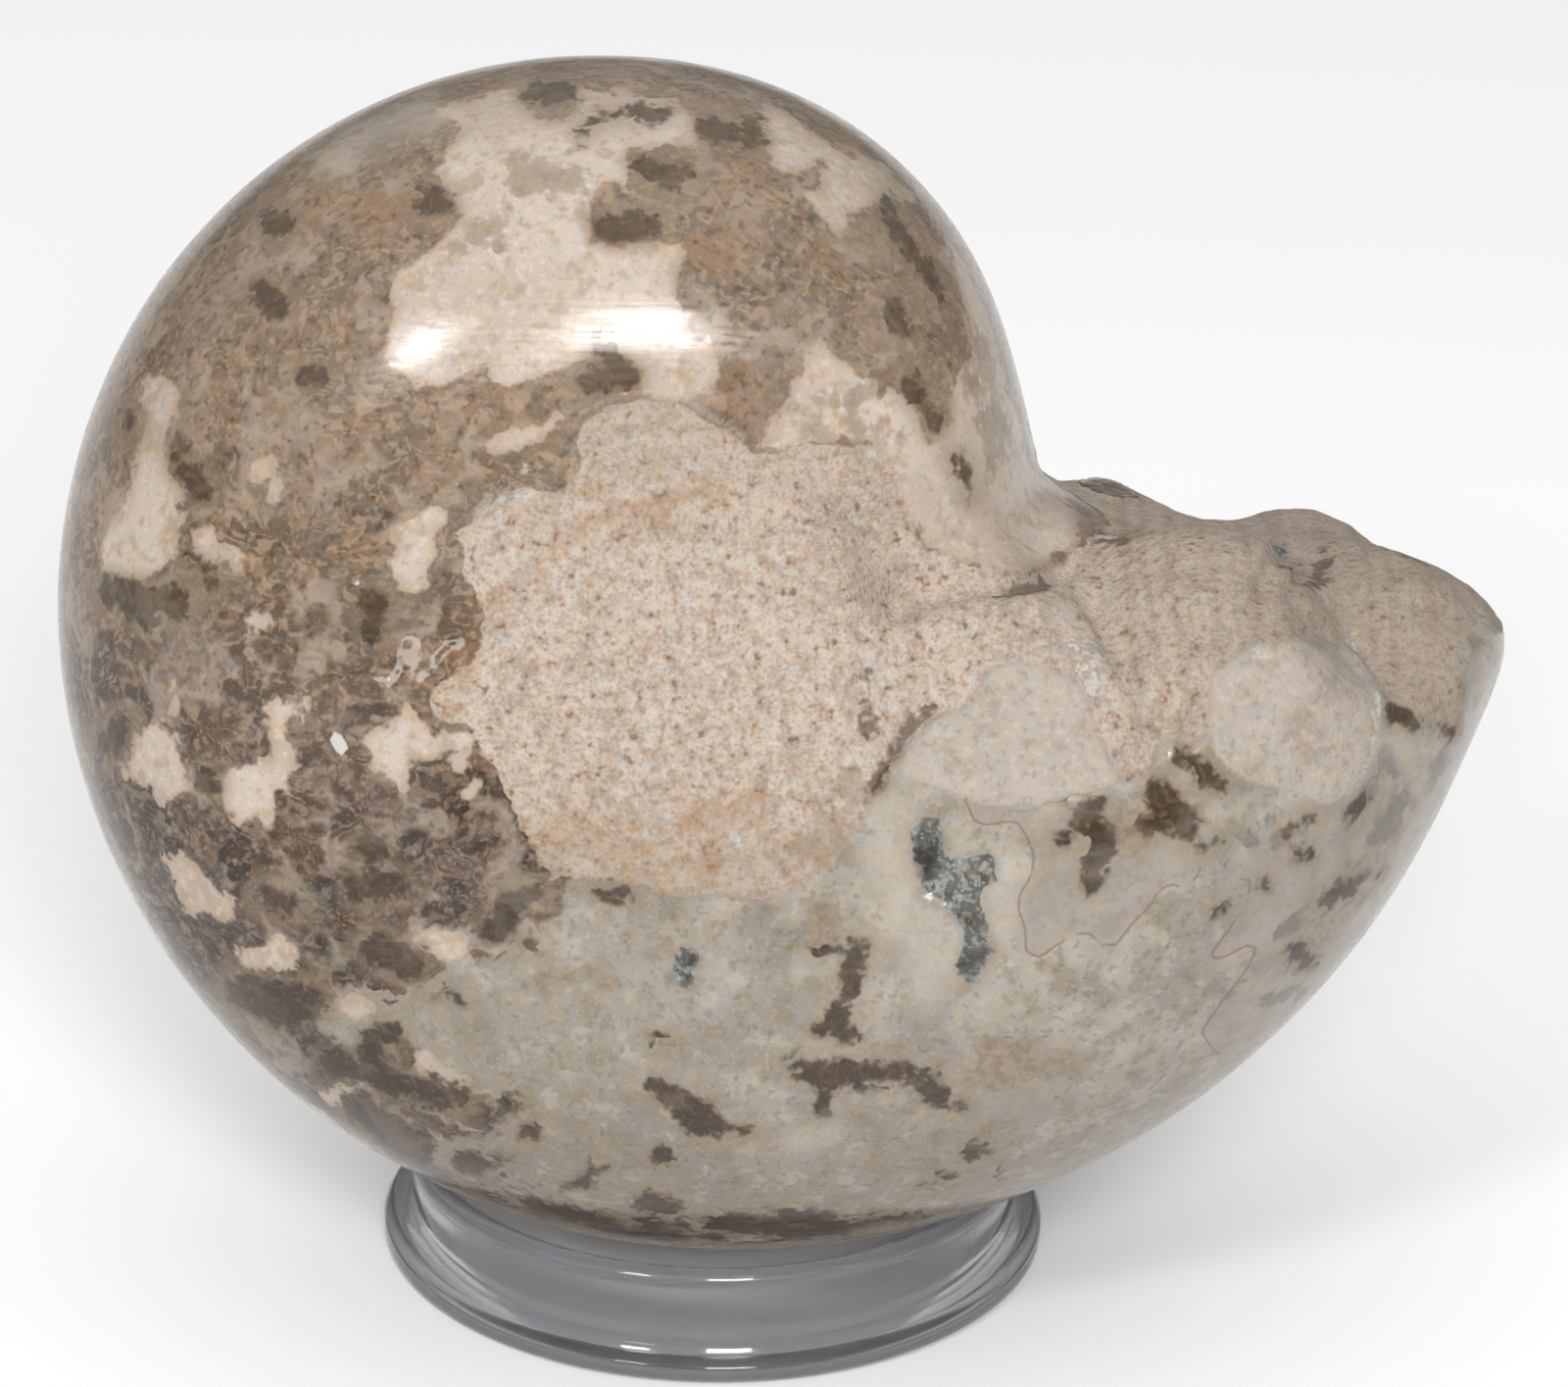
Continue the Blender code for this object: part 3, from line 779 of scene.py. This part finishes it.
fields["vein"] = np.where(in_view, patch_depth(VEINS), nowhere)
fields["seam"] = np.where(in_view, brush_depth(SUTURES), nowhere)
fields["wide"] = 0.5 + 0.3 * waves(8, 18)
fields["clusters"] = 0.5 + 0.3 * waves(4.5, 19, 2)
field_names = list(fields)
while len(field_names) % 3:
    field_names.append(field_names[-1])
triples = [field_names[i : i + 3] for i in range(0, len(field_names), 3)]
for number, triple in enumerate(triples):
    attribute = stone_mesh.attributes.new(f"markings_{number}", "FLOAT_VECTOR", "POINT")
    three_fields = np.stack([fields[name] for name in triple], axis=1)
    attribute.data.foreach_set("vector", np.clip(three_fields, -FIELD_LIMIT, FIELD_LIMIT).ravel())
print("points with markings, in %:", {n: round(100 * (f > 0).mean()) for n, f in fields.items()})

# %% [markdown]
# ## Grain, steps and creases
#
# The rock was not ground, so it lies a little lower than the polished shell round it and has
# lumps and grains. Those that can be seen from a step away are real relief, not bump.

# %% Raise the relief
ROCK_STEP = 0.10  # mm, as all of these
GRAIN = 0.10
LUMPS = 0.22
RIDGE_HEIGHT = 0.45
GROOVE_DEPTH = 0.55
POCKET_DEPTH = 0.3
POCKET_CRYSTALS = 0.35
HAND_GROUND = 0.05  # the polished face is a little uneven
BOX_MARGIN = 0.02

rough = ease(fields["rock"], -0.3, 0.8)
relief = -ROCK_STEP * rough
relief += rough * (waves(1.6, 6, 2) * GRAIN + waves(6, 7, 2) * LUMPS - LUMPS)
relief += (1 - rough) * waves(8, 15, 1) * HAND_GROUND
unground = ease(fields["rock"], -1.2, 0.2)
relief += unground * ease(brush_depth(RIDGES), -1.0, 0.5) * RIDGE_HEIGHT
relief -= unground * ease(brush_depth(GROOVES), -0.7, 0.5) * GROOVE_DEPTH
in_pocket = ease(fields["pocket"], -0.3, 0.5)
relief += in_pocket * (waves(1.3, 8, 2) * POCKET_CRYSTALS - POCKET_DEPTH)
places += normals * (relief * MM)[:, None]
margin = BOX_MARGIN * MM
places = np.clip(places, np.array(cad_low) + margin, np.array(cad_high) - margin)
stone_mesh.vertices.foreach_set("co", places.ravel())
stone_mesh.shade_smooth()
stone_mesh.update()
print("relief from", round(float(relief.min()), 2), "to", round(float(relief.max()), 2), "mm")

# %% [markdown]
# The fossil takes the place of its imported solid, and it stays at the origin with its shape in
# place, so nothing has to be moved.

# %% Put the fossil in the scene
fossil = add_object("polished_fossil", stone_mesh)
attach(fossil, "root")
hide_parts("ammonite")
print("fossil:", len(stone_mesh.polygons), "faces")

# %% [markdown]
# ## The fossil's finish
#
# One material holds every marking, because on the real stone they are one polished face. It works
# from the bottom up: brown calcite cells with pale veins, beige stone over them, cream patches,
# dark crystals, and the matte rock last.

# %% Patterns of the stone
CRYSTAL = 3.2  # mm across one calcite crystal
FIBRES = 2.2  # how often the streaks change on the way round a crystal's middle
CRYSTAL_PUSH = 5.0  # mm between the places that noise moves a crystal to
NOISES = {  # size in mm and detail; the real grain is finer than the render can show
    "middle": (2.2, 2.0),
    "fine": (0.7, 1.0),
    "grain": (0.3, 1.0),
    "tint": (1.0, 2.0),
}

stone_finish = finish("polished_calcite_and_rock", {"IOR": 1.46})
tree = stone_finish.node_tree
shader = tree.nodes["Principled BSDF"]
where = add_node(tree, "TexCoord")["Object"]
in_mm = add_node(tree, "VectorMath", {0: where, 3: 1 / MM}, operation="SCALE")[0]
sides = add_node(tree, "SeparateXYZ", {0: in_mm})

patterns = {"along": sides[0], "height": sides[2]}
for number, triple in enumerate(triples):
    marks = add_node(tree, "Attribute", attribute_name=f"markings_{number}")
    split = add_node(tree, "SeparateXYZ", {0: marks["Vector"]})
    patterns.update(zip(triple, split))
for name, (size, detail) in NOISES.items():
    patterns[name] = add_node(
        tree, "TexNoise", {"Vector": in_mm, "Scale": 1 / size, "Detail": detail, "Roughness": 0.65}
    )["Fac"]

# %% [markdown]
# The brown calcite grew as small fans of crystal fibres. A Voronoi texture gives the crystals,
# pushed out of shape by the noises, and a noise that only depends on the direction from each
# crystal's middle gives the fibres.

# %% Crystals and their fibres
push = add_node(
    tree, "CombineXYZ", {0: patterns["middle"], 1: patterns["clusters"], 2: patterns["wide"]}
)[0]
pushed = add_node(
    tree, "VectorMath", {0: push, 1: (CRYSTAL_PUSH,) * 3, 2: in_mm}, operation="MULTIPLY_ADD"
)[0]
crystals = add_node(tree, "TexVoronoi", {"Vector": pushed, "Scale": 1 / CRYSTAL})
patterns["from crystal"] = crystals["Distance"]
patterns["crystal tone"] = add_node(tree, "SeparateColor", {0: crystals["Color"]})[0]
from_middle = add_node(
    tree, "VectorMath", {0: pushed, 1: crystals["Position"]}, operation="SUBTRACT"
)[0]
direction = add_node(tree, "VectorMath", {0: from_middle}, operation="NORMALIZE")[0]
fibre_place = add_node(
    tree,
    "VectorMath",
    {0: direction, 1: (FIBRES,) * 3, 2: crystals["Position"]},
    operation="MULTIPLY_ADD",
)[0]
patterns["fibres"] = add_node(
    tree, "TexNoise", {"Vector": fibre_place, "Scale": 1.0, "Detail": 1.0}
)["Fac"]
beside_vein = add_node(tree, "Math", {0: patterns["vein"]}, operation="ABSOLUTE")[0]
patterns["off vein"] = add_node(
    tree, "Math", {0: patterns["fine"], 1: 0.5, 2: beside_vein}, operation="MULTIPLY_ADD"
)[0]

# %% [markdown]
# The rock in the middle of the coil has faint arcs round that middle. A noise of the distance
# from it, stretched along the turn, draws them.

# %% Arcs in the rock
ARCS_PER_MM = 0.7
ARC_TURN = 3.0

plug_middle = [v / MM for v in coil_centre + np.array((PLUG_AT[0], 0, PLUG_AT[1])) * MM]
off_plug = add_node(tree, "VectorMath", {0: in_mm, 1: plug_middle}, operation="SUBTRACT")[0]
flat_off_plug = add_node(
    tree, "VectorMath", {0: off_plug, 1: (1.0, 0.0, 1.0)}, operation="MULTIPLY"
)[0]
reach = add_node(tree, "VectorMath", {0: flat_off_plug}, operation="LENGTH")["Value"]
off_sides = add_node(tree, "SeparateXYZ", {0: off_plug})
turn = add_node(tree, "Math", {0: off_sides[2], 1: off_sides[0]}, operation="ARCTAN2")[0]
turn = add_node(tree, "Math", {0: turn, 1: ARC_TURN}, operation="MULTIPLY")[0]
arc_place = add_node(tree, "CombineXYZ", {0: reach, 1: turn})[0]
patterns["arcs"] = add_node(
    tree, "TexNoise", {"Vector": arc_place, "Scale": ARCS_PER_MM, "Detail": 2.0}
)["Fac"]

# %% [markdown]
# Where two kinds of stone meet, the edge is ragged. Each field is moved by noise, and some by the
# tone of the crystal there, so a patch ends along crystals. Then it is cut at its edge.

# %% Edges of the markings
EDGE_NOISE = 3.0
EDGES = {  # how far noise moves the edge, how soft it is, and how far crystals move it, in mm
    "stone": (1.6, 0.9, 3.0),
    "filling": (0.1, 0.25, 0.0),
    "cream": (0.7, 0.35, 0.6),
    "rock": (0.5, 0.18, 0.0),
    "pale": (1.2, 1.6, 0.0),
    "facet": (0.5, 0.3, 0.0),
    "tan": (2.0, 1.2, 1.5),
    "dark": (0.8, 0.5, 0.8),
    "grey": (0.8, 0.4, 0.3),
    "rust": (2.0, 1.6, 0.0),
    "crust": (0.9, 0.5, 0.0),
    "pocket": (0.6, 0.12, 0.0),
    "chip": (0.05, 0.12, 0.0),
}
wobble = add_node(
    tree, "Math", {0: patterns["fine"], 1: 0.5, 2: patterns["middle"]}, operation="MULTIPLY_ADD"
)[0]
for name, (ragged, soft, by_crystal) in EDGES.items():
    moved = add_node(
        tree, "Math", {0: wobble, 1: EDGE_NOISE * ragged, 2: patterns[name]},
        operation="MULTIPLY_ADD",
    )[0]
    if by_crystal:
        moved = add_node(
            tree, "Math", {0: patterns["crystal tone"], 1: by_crystal, 2: moved},
            operation="MULTIPLY_ADD",
        )[0]
    middle_value = EDGE_NOISE * 0.75 * ragged + 0.5 * by_crystal  # the means of both noises
    patterns["in " + name] = add_node(
        tree,
        "MapRange",
        {"Value": moved, "From Min": middle_value - soft, "From Max": middle_value + soft},
        interpolation_type="SMOOTHSTEP",
    )[0]
print("patterns of the stone:", len(patterns))

# %% [markdown]
# A finish is a first colour with more colours laid over it. Each row of a list names a pattern,
# the value where its colour starts, the value where it is full, its greatest share and the
# colour. Warm and cool colours change places at every size, as they do in real stone.


# %% Lay the colours of each kind of stone
def lay_colours(colour, rows):
    """Lays colours, or finishes already laid, over a first colour."""
    for name, start, full, share, over in rows:
        amount = add_node(
            tree,
            "MapRange",
            {"Value": patterns[name], "From Min": start, "From Max": full, "To Max": share},
            interpolation_type="SMOOTHSTEP",
        )[0]
        over = linear(over) if isinstance(over, str) else over
        colour = add_node(tree, "Mix", {0: amount, 6: colour, 7: over}, data_type="RGBA")[2]
    return colour


calcite = lay_colours(linear("634a36"), [
    ("from crystal", 0.45, 0.15, 0.6, "3f2b1b"),
    ("crystal tone", 0.45, 0.8, 0.78, "2c1e13"),
    ("crystal tone", 0.3, 0.1, 0.55, "756559"),
    ("clusters", 0.5, 0.7, 0.6, "281c13"),
    ("clusters", 0.42, 0.28, 0.5, "7d6e61"),
    ("fibres", 0.52, 0.64, 0.5, "9c8770"),
    ("fibres", 0.48, 0.36, 0.6, "21150c"),
    ("in rust", 0.0, 1.0, 0.5, "6e4720"),
    ("wide", 0.52, 0.72, 0.4, "6b635d"),
    # painted light: the calcite lighter towards the top, where the flank faces the light
    ("height", 40.0, 80.0, 0.35, "a8937b"),
    # painted shade: the calcite darker towards the bottom, where the underside faces away from the
    # light
    ("height", 64.0, 28.0, 0.6, "251a11"),
    ("middle", 0.42, 0.3, 0.4, "8d7e6b"),
    ("from crystal", 0.6, 0.82, 0.45, "a19281"),
    ("fine", 0.54, 0.72, 0.45, "2b1e16"),
    ("fine", 0.44, 0.28, 0.35, "94867a"),
    ("grain", 0.58, 0.75, 0.25, "9f907c"),
    ("off vein", 0.45, 0.3, 0.5, "bfb4a8"),
    ("in dark", 0.0, 1.0, 0.65, "2e1f0f"),
])
beige = lay_colours(linear("797166"), [
    # painted shade: the beige stone darker towards the bottom
    ("height", 8.0, 38.0, 1.0, "989084"),
    ("along", 8.0, -18.0, 0.5, "7b7368"),
    ("wide", 0.42, 0.66, 0.6, "79736a"),
    ("crystal tone", 0.4, 0.9, 0.25, "847a6a"),
    ("middle", 0.5, 0.65, 0.55, "786c59"),
    ("middle", 0.46, 0.34, 0.35, "ada597"),
    ("fine", 0.54, 0.7, 0.42, "685c4b"),
    ("grain", 0.54, 0.72, 0.2, "b3aca0"),
])
shell = lay_colours(linear("baad9f"), [
    ("wide", 0.35, 0.65, 1.0, "b0a192"),
    ("cream", 1.0, -0.2, 0.75, "a4907c"),
    ("middle", 0.52, 0.68, 0.6, "99876f"),
    ("fine", 0.44, 0.3, 0.4, "cabdb0"),
    ("fine", 0.56, 0.7, 0.5, "9c8972"),
    ("grain", 0.6, 0.78, 0.4, "8c7861"),
])
grit = lay_colours(linear("aea193"), [
    ("arcs", 0.45, 0.6, 0.5, "968574"),
    ("middle", 0.5, 0.66, 0.35, "8d7b67"),
    ("fine", 0.52, 0.68, 0.5, "87684f"),
    ("fine", 0.46, 0.32, 0.35, "bfb5aa"),
    ("grain", 0.53, 0.68, 0.4, "7f664f"),
    ("grain", 0.45, 0.3, 0.35, "c5bbae"),
    ("fine", 0.68, 0.74, 0.6, "55463d"),
    ("in rust", 0.0, 1.0, 0.3, "95714b"),
    # tan strokes on the rock; the plug rim stroke among them is painted shade
    ("in tan", 0.0, 1.0, 0.5, "84745f"),
    # painted shade: the rock darker on the plug's lower part
    ("height", 54.0, 36.0, 0.6, "87745f"),
    ("height", 62.0, 76.0, 0.3, "8b7965"),
    ("along", 10.0, 50.0, 0.5, "766a5c"),
    # dark strokes on the rock: stains, and painted shade in the creases and under the tip
    ("in dark", 0.0, 1.0, 0.75, "51443a"),
])
pocket = lay_colours(linear("50504b"), [
    ("fine", 0.44, 0.6, 0.8, "878680"),
    ("grain", 0.56, 0.7, 0.45, "b2b1ac"),
    ("middle", 0.5, 0.62, 0.6, "3a3833"),
    ("in dark", 0.0, 1.0, 0.75, "2b2825"),
])
brownish = lay_colours(linear("716049"), [("fine", 0.35, 0.65, 1.0, "8d7e69")])
crust = lay_colours(linear("9b9287"), [
    ("fine", 0.52, 0.4, 1.0, "b9b4aa"),
    ("grain", 0.5, 0.66, 0.5, "7c7265"),
])
facet = lay_colours(linear("a3988c"), [
    ("middle", 0.5, 0.66, 0.55, "8d8174"),
    ("clusters", 0.5, 0.36, 0.5, "ada197"),
    ("fine", 0.44, 0.3, 0.5, "b5aba1"),
    ("fine", 0.56, 0.7, 0.5, "877a6b"),
    ("grain", 0.54, 0.72, 0.3, "b6ada3"),
])

# %% [markdown]
# The widest kinds are laid first, and pockets and chips last. A suture is the line where a
# filling ends, and it shows only along a stroke that marks it.

# %% Lay one kind of stone over the other
TINT_SHARE = 0.65

patterns["from suture"] = add_node(tree, "Math", {0: patterns["filling"]}, operation="ABSOLUTE")[0]
near_suture = add_node(
    tree,
    "MapRange",
    {"Value": patterns["seam"], "From Min": 0.0, "From Max": 0.3, "To Min": 9.0, "To Max": 0.0},
)[0]
patterns["from shown suture"] = add_node(
    tree, "Math", {0: patterns["from suture"], 1: near_suture}, operation="ADD"
)[0]
colour = lay_colours(calcite, [
    ("in stone", 0.0, 1.0, 1.0, beige),
    ("in filling", 0.0, 1.0, 0.5, "8a8177"),
    ("in cream", 0.0, 1.0, 0.95, shell),
    ("in tan", 0.0, 1.0, 0.6, brownish),
    ("in grey", 0.0, 1.0, 0.7, "625f5a"),
    # dark strokes: stains, and painted shade along the lower edge and in creases
    ("dark", -1.8, 0.0, 0.45, brownish),
    ("in dark", 0.0, 1.0, 0.92, calcite),
    # pale strokes: pale stone, and painted sheen near the outline
    ("in pale", 0.0, 1.0, 0.4, "b5ac9e"),
    ("in rock", 0.0, 1.0, 1.0, grit),
    ("in facet", 0.0, 1.0, 0.85, facet),
    ("in crust", 0.0, 1.0, 0.75, crust),
    ("pocket", -0.8, 0.0, 0.4, "7b776d"),
    ("in pocket", 0.0, 1.0, 1.0, pocket),
    ("in chip", 0.0, 1.0, 0.75, "cbc7c0"),
    ("from shown suture", 0.16, 0.04, 0.7, "74604f"),
])
warm_or_cool = add_node(
    tree, "Mix", {0: patterns["tint"], 6: linear("98bcdc"), 7: linear("dabc99")}, data_type="RGBA"
)[2]
colour = add_node(
    tree,
    "Mix",
    {0: TINT_SHARE, 6: colour, 7: warm_or_cool},
    data_type="RGBA",
    blend_type="SOFT_LIGHT",
)[2]
tree.links.new(colour, shader.inputs["Base Color"])

# %% [markdown]
# To the eye the polished face is a hard wax-like gloss, and fine scratches that all run one way
# stretch its glints sideways. Rock and the two broken facets were never polished, so are matte.

# %% Polish, scratches and grain
SCRATCH_TILT = math.radians(12)  # polishing scratches rise to the right
SCRATCHES_PER_MM = (0.12, 2.6, 2.6)  # along and across, as coarse as they need to be to show
SCRATCH_SHARE = 0.04  # of the height of a grain
BUMP = 0.18
GLOSSIEST, DULLEST, MATTE = 0.11, 0.26, 0.85

scratch_place = add_node(
    tree,
    "Mapping",
    {"Vector": in_mm, "Rotation": (0.0, SCRATCH_TILT, 0.0), "Scale": SCRATCHES_PER_MM},
)[0]
scratches = add_node(
    tree, "TexNoise", {"Vector": scratch_place, "Scale": 1.0, "Detail": 1.0}
)["Fac"]
polish = add_node(
    tree,
    "MapRange",
    {
        "Value": scratches,
        "From Min": 0.35,
        "From Max": 0.65,
        "To Min": GLOSSIEST,
        "To Max": DULLEST,
    },
)[0]
unpolished = add_node(
    tree, "MapRange", {"Value": patterns["rock"], "From Min": -0.9, "From Max": -0.2}
)[0]
for name, share in (("in facet", 0.8), ("in crust", 0.9)):
    unpolished = add_node(
        tree, "Math", {0: patterns[name], 1: share, 2: unpolished},
        operation="MULTIPLY_ADD", use_clamp=True,
    )[0]
roughness = add_node(tree, "Mix", {0: unpolished, 2: polish, 3: MATTE})[0]
tree.links.new(roughness, shader.inputs["Roughness"])
rock_height = add_node(
    tree, "Math", {0: patterns["grain"], 1: unpolished}, operation="MULTIPLY"
)[0]
bump_height = add_node(
    tree, "Math", {0: scratches, 1: SCRATCH_SHARE, 2: rock_height}, operation="MULTIPLY_ADD"
)[0]
bump = add_node(tree, "Bump", {"Height": bump_height, "Strength": 0.6, "Distance": BUMP * MM})[0]
tree.links.new(bump, shader.inputs["Normal"])
stone_mesh.materials.clear()
stone_mesh.materials.append(stone_finish)
print("stone material:", len(tree.nodes), "nodes")

# %% [markdown]
# ## The ring
#
# The stand is injection moulded from clear plastic: a foot flange, a short wall and a rounded
# lip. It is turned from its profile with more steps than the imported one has, because clear
# plastic shows every facet.

# %% Turn the ring
RING_STEPS = 192
WALL_RADIUS = 22.9  # mm, as all of these
LIP_RADIUS = 23.3
INNER_RADIUS = 21.4
FOOT_THICKNESS = 1.5

foot_radius = (ring_high[0] - ring_low[0]) / 2 / MM
ring_height = ring_high[2] / MM
ring_outline = [  # radius and height in mm, up the outside and over the lip
    (INNER_RADIUS, 0.0), (foot_radius - 0.3, 0.0), (foot_radius, 0.3),
    (foot_radius, FOOT_THICKNESS - 0.3), (foot_radius - 0.3, FOOT_THICKNESS),
    (WALL_RADIUS + 0.6, FOOT_THICKNESS), (WALL_RADIUS + 0.1, FOOT_THICKNESS + 0.6),
    (WALL_RADIUS, FOOT_THICKNESS + 2.4),
    (LIP_RADIUS - 0.13, ring_height - 1.43), (LIP_RADIUS, ring_height - 0.95),
    (LIP_RADIUS - 0.3, ring_height - 0.28), (LIP_RADIUS - 0.95, ring_height),
    (LIP_RADIUS - 1.6, ring_height - 0.25), (INNER_RADIUS, ring_height - 0.8),
]
turned = bmesh.new()
corners = [turned.verts.new((r * MM, 0.0, h * MM)) for r, h in ring_outline]
for first, second in zip(corners, corners[1:] + corners[:1]):
    turned.edges.new((first, second))
bmesh.ops.spin(
    turned,
    geom=turned.verts[:] + turned.edges[:],
    cent=(0.0, 0.0, 0.0),
    axis=(0.0, 0.0, 1.0),
    angle=math.radians(360),
    steps=RING_STEPS,
    use_merge=True,
)
bmesh.ops.remove_doubles(turned, verts=turned.verts, dist=MERGE_DISTANCE)
bmesh.ops.translate(turned, verts=turned.verts, vec=ring_centre)
bmesh.ops.recalc_face_normals(turned, faces=turned.faces)
ring_mesh = finished_mesh("clear_ring", turned)
ring_mesh.shade_smooth()
ring_mesh.set_sharp_from_angle(angle=math.radians(50))
ring = add_object("clear_ring", ring_mesh)
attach(ring, "root")
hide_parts("ring_stand")
print("ring:", len(ring_mesh.polygons), "faces")

# %% [markdown]
# Clear plastic could be given as thin glass, but its thick wall bends and darkens what is behind
# it, so it is solid. To the eye it is a cool grey with bright, slightly soft lines at its rims.

# %% The clear plastic
CLEAR_PLASTIC = {
    "Base Color": linear("d4d4d8"),  # what the plastic absorbs on the way through
    "Transmission Weight": 0.93,
    "IOR": 1.45,
    "Roughness": 0.08,
}
ring_mesh.materials.append(finish("moulded_clear_polystyrene", CLEAR_PLASTIC))
print("share of light let in by the plastic:", CLEAR_PLASTIC["Transmission Weight"])

# %% [markdown]
# ## Floor and light
#
# The photograph was taken on white under soft light: two softboxes in front and a bright
# surround. The floor is plain paper, which takes the soft shadow.

# %% The floor
FLOOR_SIDE = 4.0
FLOOR_GAP = 0.2 * MM  # keeps the floor clear of the ring's foot

slab = bmesh.new()
bmesh.ops.create_grid(slab, x_segments=1, y_segments=1, size=FLOOR_SIDE / 2)
floor_mesh = finished_mesh("floor", slab)
floor_mesh.materials.append(
    finish("matte_white_paper", {"Base Color": linear("ffffff"), "Roughness": 0.9})
)
floor = add_object("floor", floor_mesh)
floor.location.z = -FLOOR_GAP
print("floor side, m:", FLOOR_SIDE)

# %% [markdown]
# The place of a lamp can be read from the photograph. Where it shows as a glint, the line of sight
# is mirrored at the stone, and the lamp stands somewhere on the mirrored line.

# %% The two softboxes
KEY_GLINT = (650, 335)  # pixels of the photograph
SIDE_GLINT = (432, 355)
LAMP_DISTANCE = 0.9
AIM = Vector((0.0, 0.0, 0.05))


def mirrored_place(x, y):
    """Where a lamp stands that the camera sees mirrored at a pixel of the photograph."""
    ray = Vector((x - PHOTO_WIDTH / 2, PHOTO_HEIGHT / 2 - y, -focal_pixels)).normalized()
    ray = camera.matrix_world.to_3x3() @ ray
    hit, normal, _, _ = surface_tree.ray_cast(camera.matrix_world.translation, ray)
    return hit + ray.reflect(normal) * LAMP_DISTANCE


def softbox(name, place, size, power):
    """A square area light at a place in metres, turned towards the fossil."""
    light = bpy.data.lights.new(name, "AREA")
    light.size = size
    light.energy = power
    lamp = add_object(name, light)
    lamp.location = place
    lamp.rotation_euler = (AIM - lamp.location).to_track_quat("-Z", "Y").to_euler()
    print(name, "at", [round(v, 2) for v in place])


softbox("key_softbox", mirrored_place(*KEY_GLINT), 0.24, 5.0)
softbox("side_softbox", mirrored_place(*SIDE_GLINT), 0.15, 2.0)

# %% [markdown]
# White walls and a white ceiling give the even light. It is brighter from above, so the stone gets
# darker towards its underside.

# %% The bright surround
SKY_LOW = 0.2
SKY_HIGH = 0.95

surround = bpy.data.worlds.new("white_surround")
surround.use_nodes = True
sky = surround.node_tree
way = add_node(sky, "TexCoord")["Generated"]
height = add_node(sky, "SeparateXYZ", {0: way})[2]
brightness = add_node(
    sky,
    "MapRange",
    {"Value": height, "From Min": 0.1, "From Max": 1.0, "To Min": SKY_LOW, "To Max": SKY_HIGH},
)[0]
background = sky.nodes["Background"]
background.inputs["Color"].default_value = (1.0, 1.0, 1.0, 1.0)
sky.links.new(brightness, background.inputs["Strength"])
bpy.context.scene.world = surround
bpy.context.scene.view_settings.view_transform = "Standard"
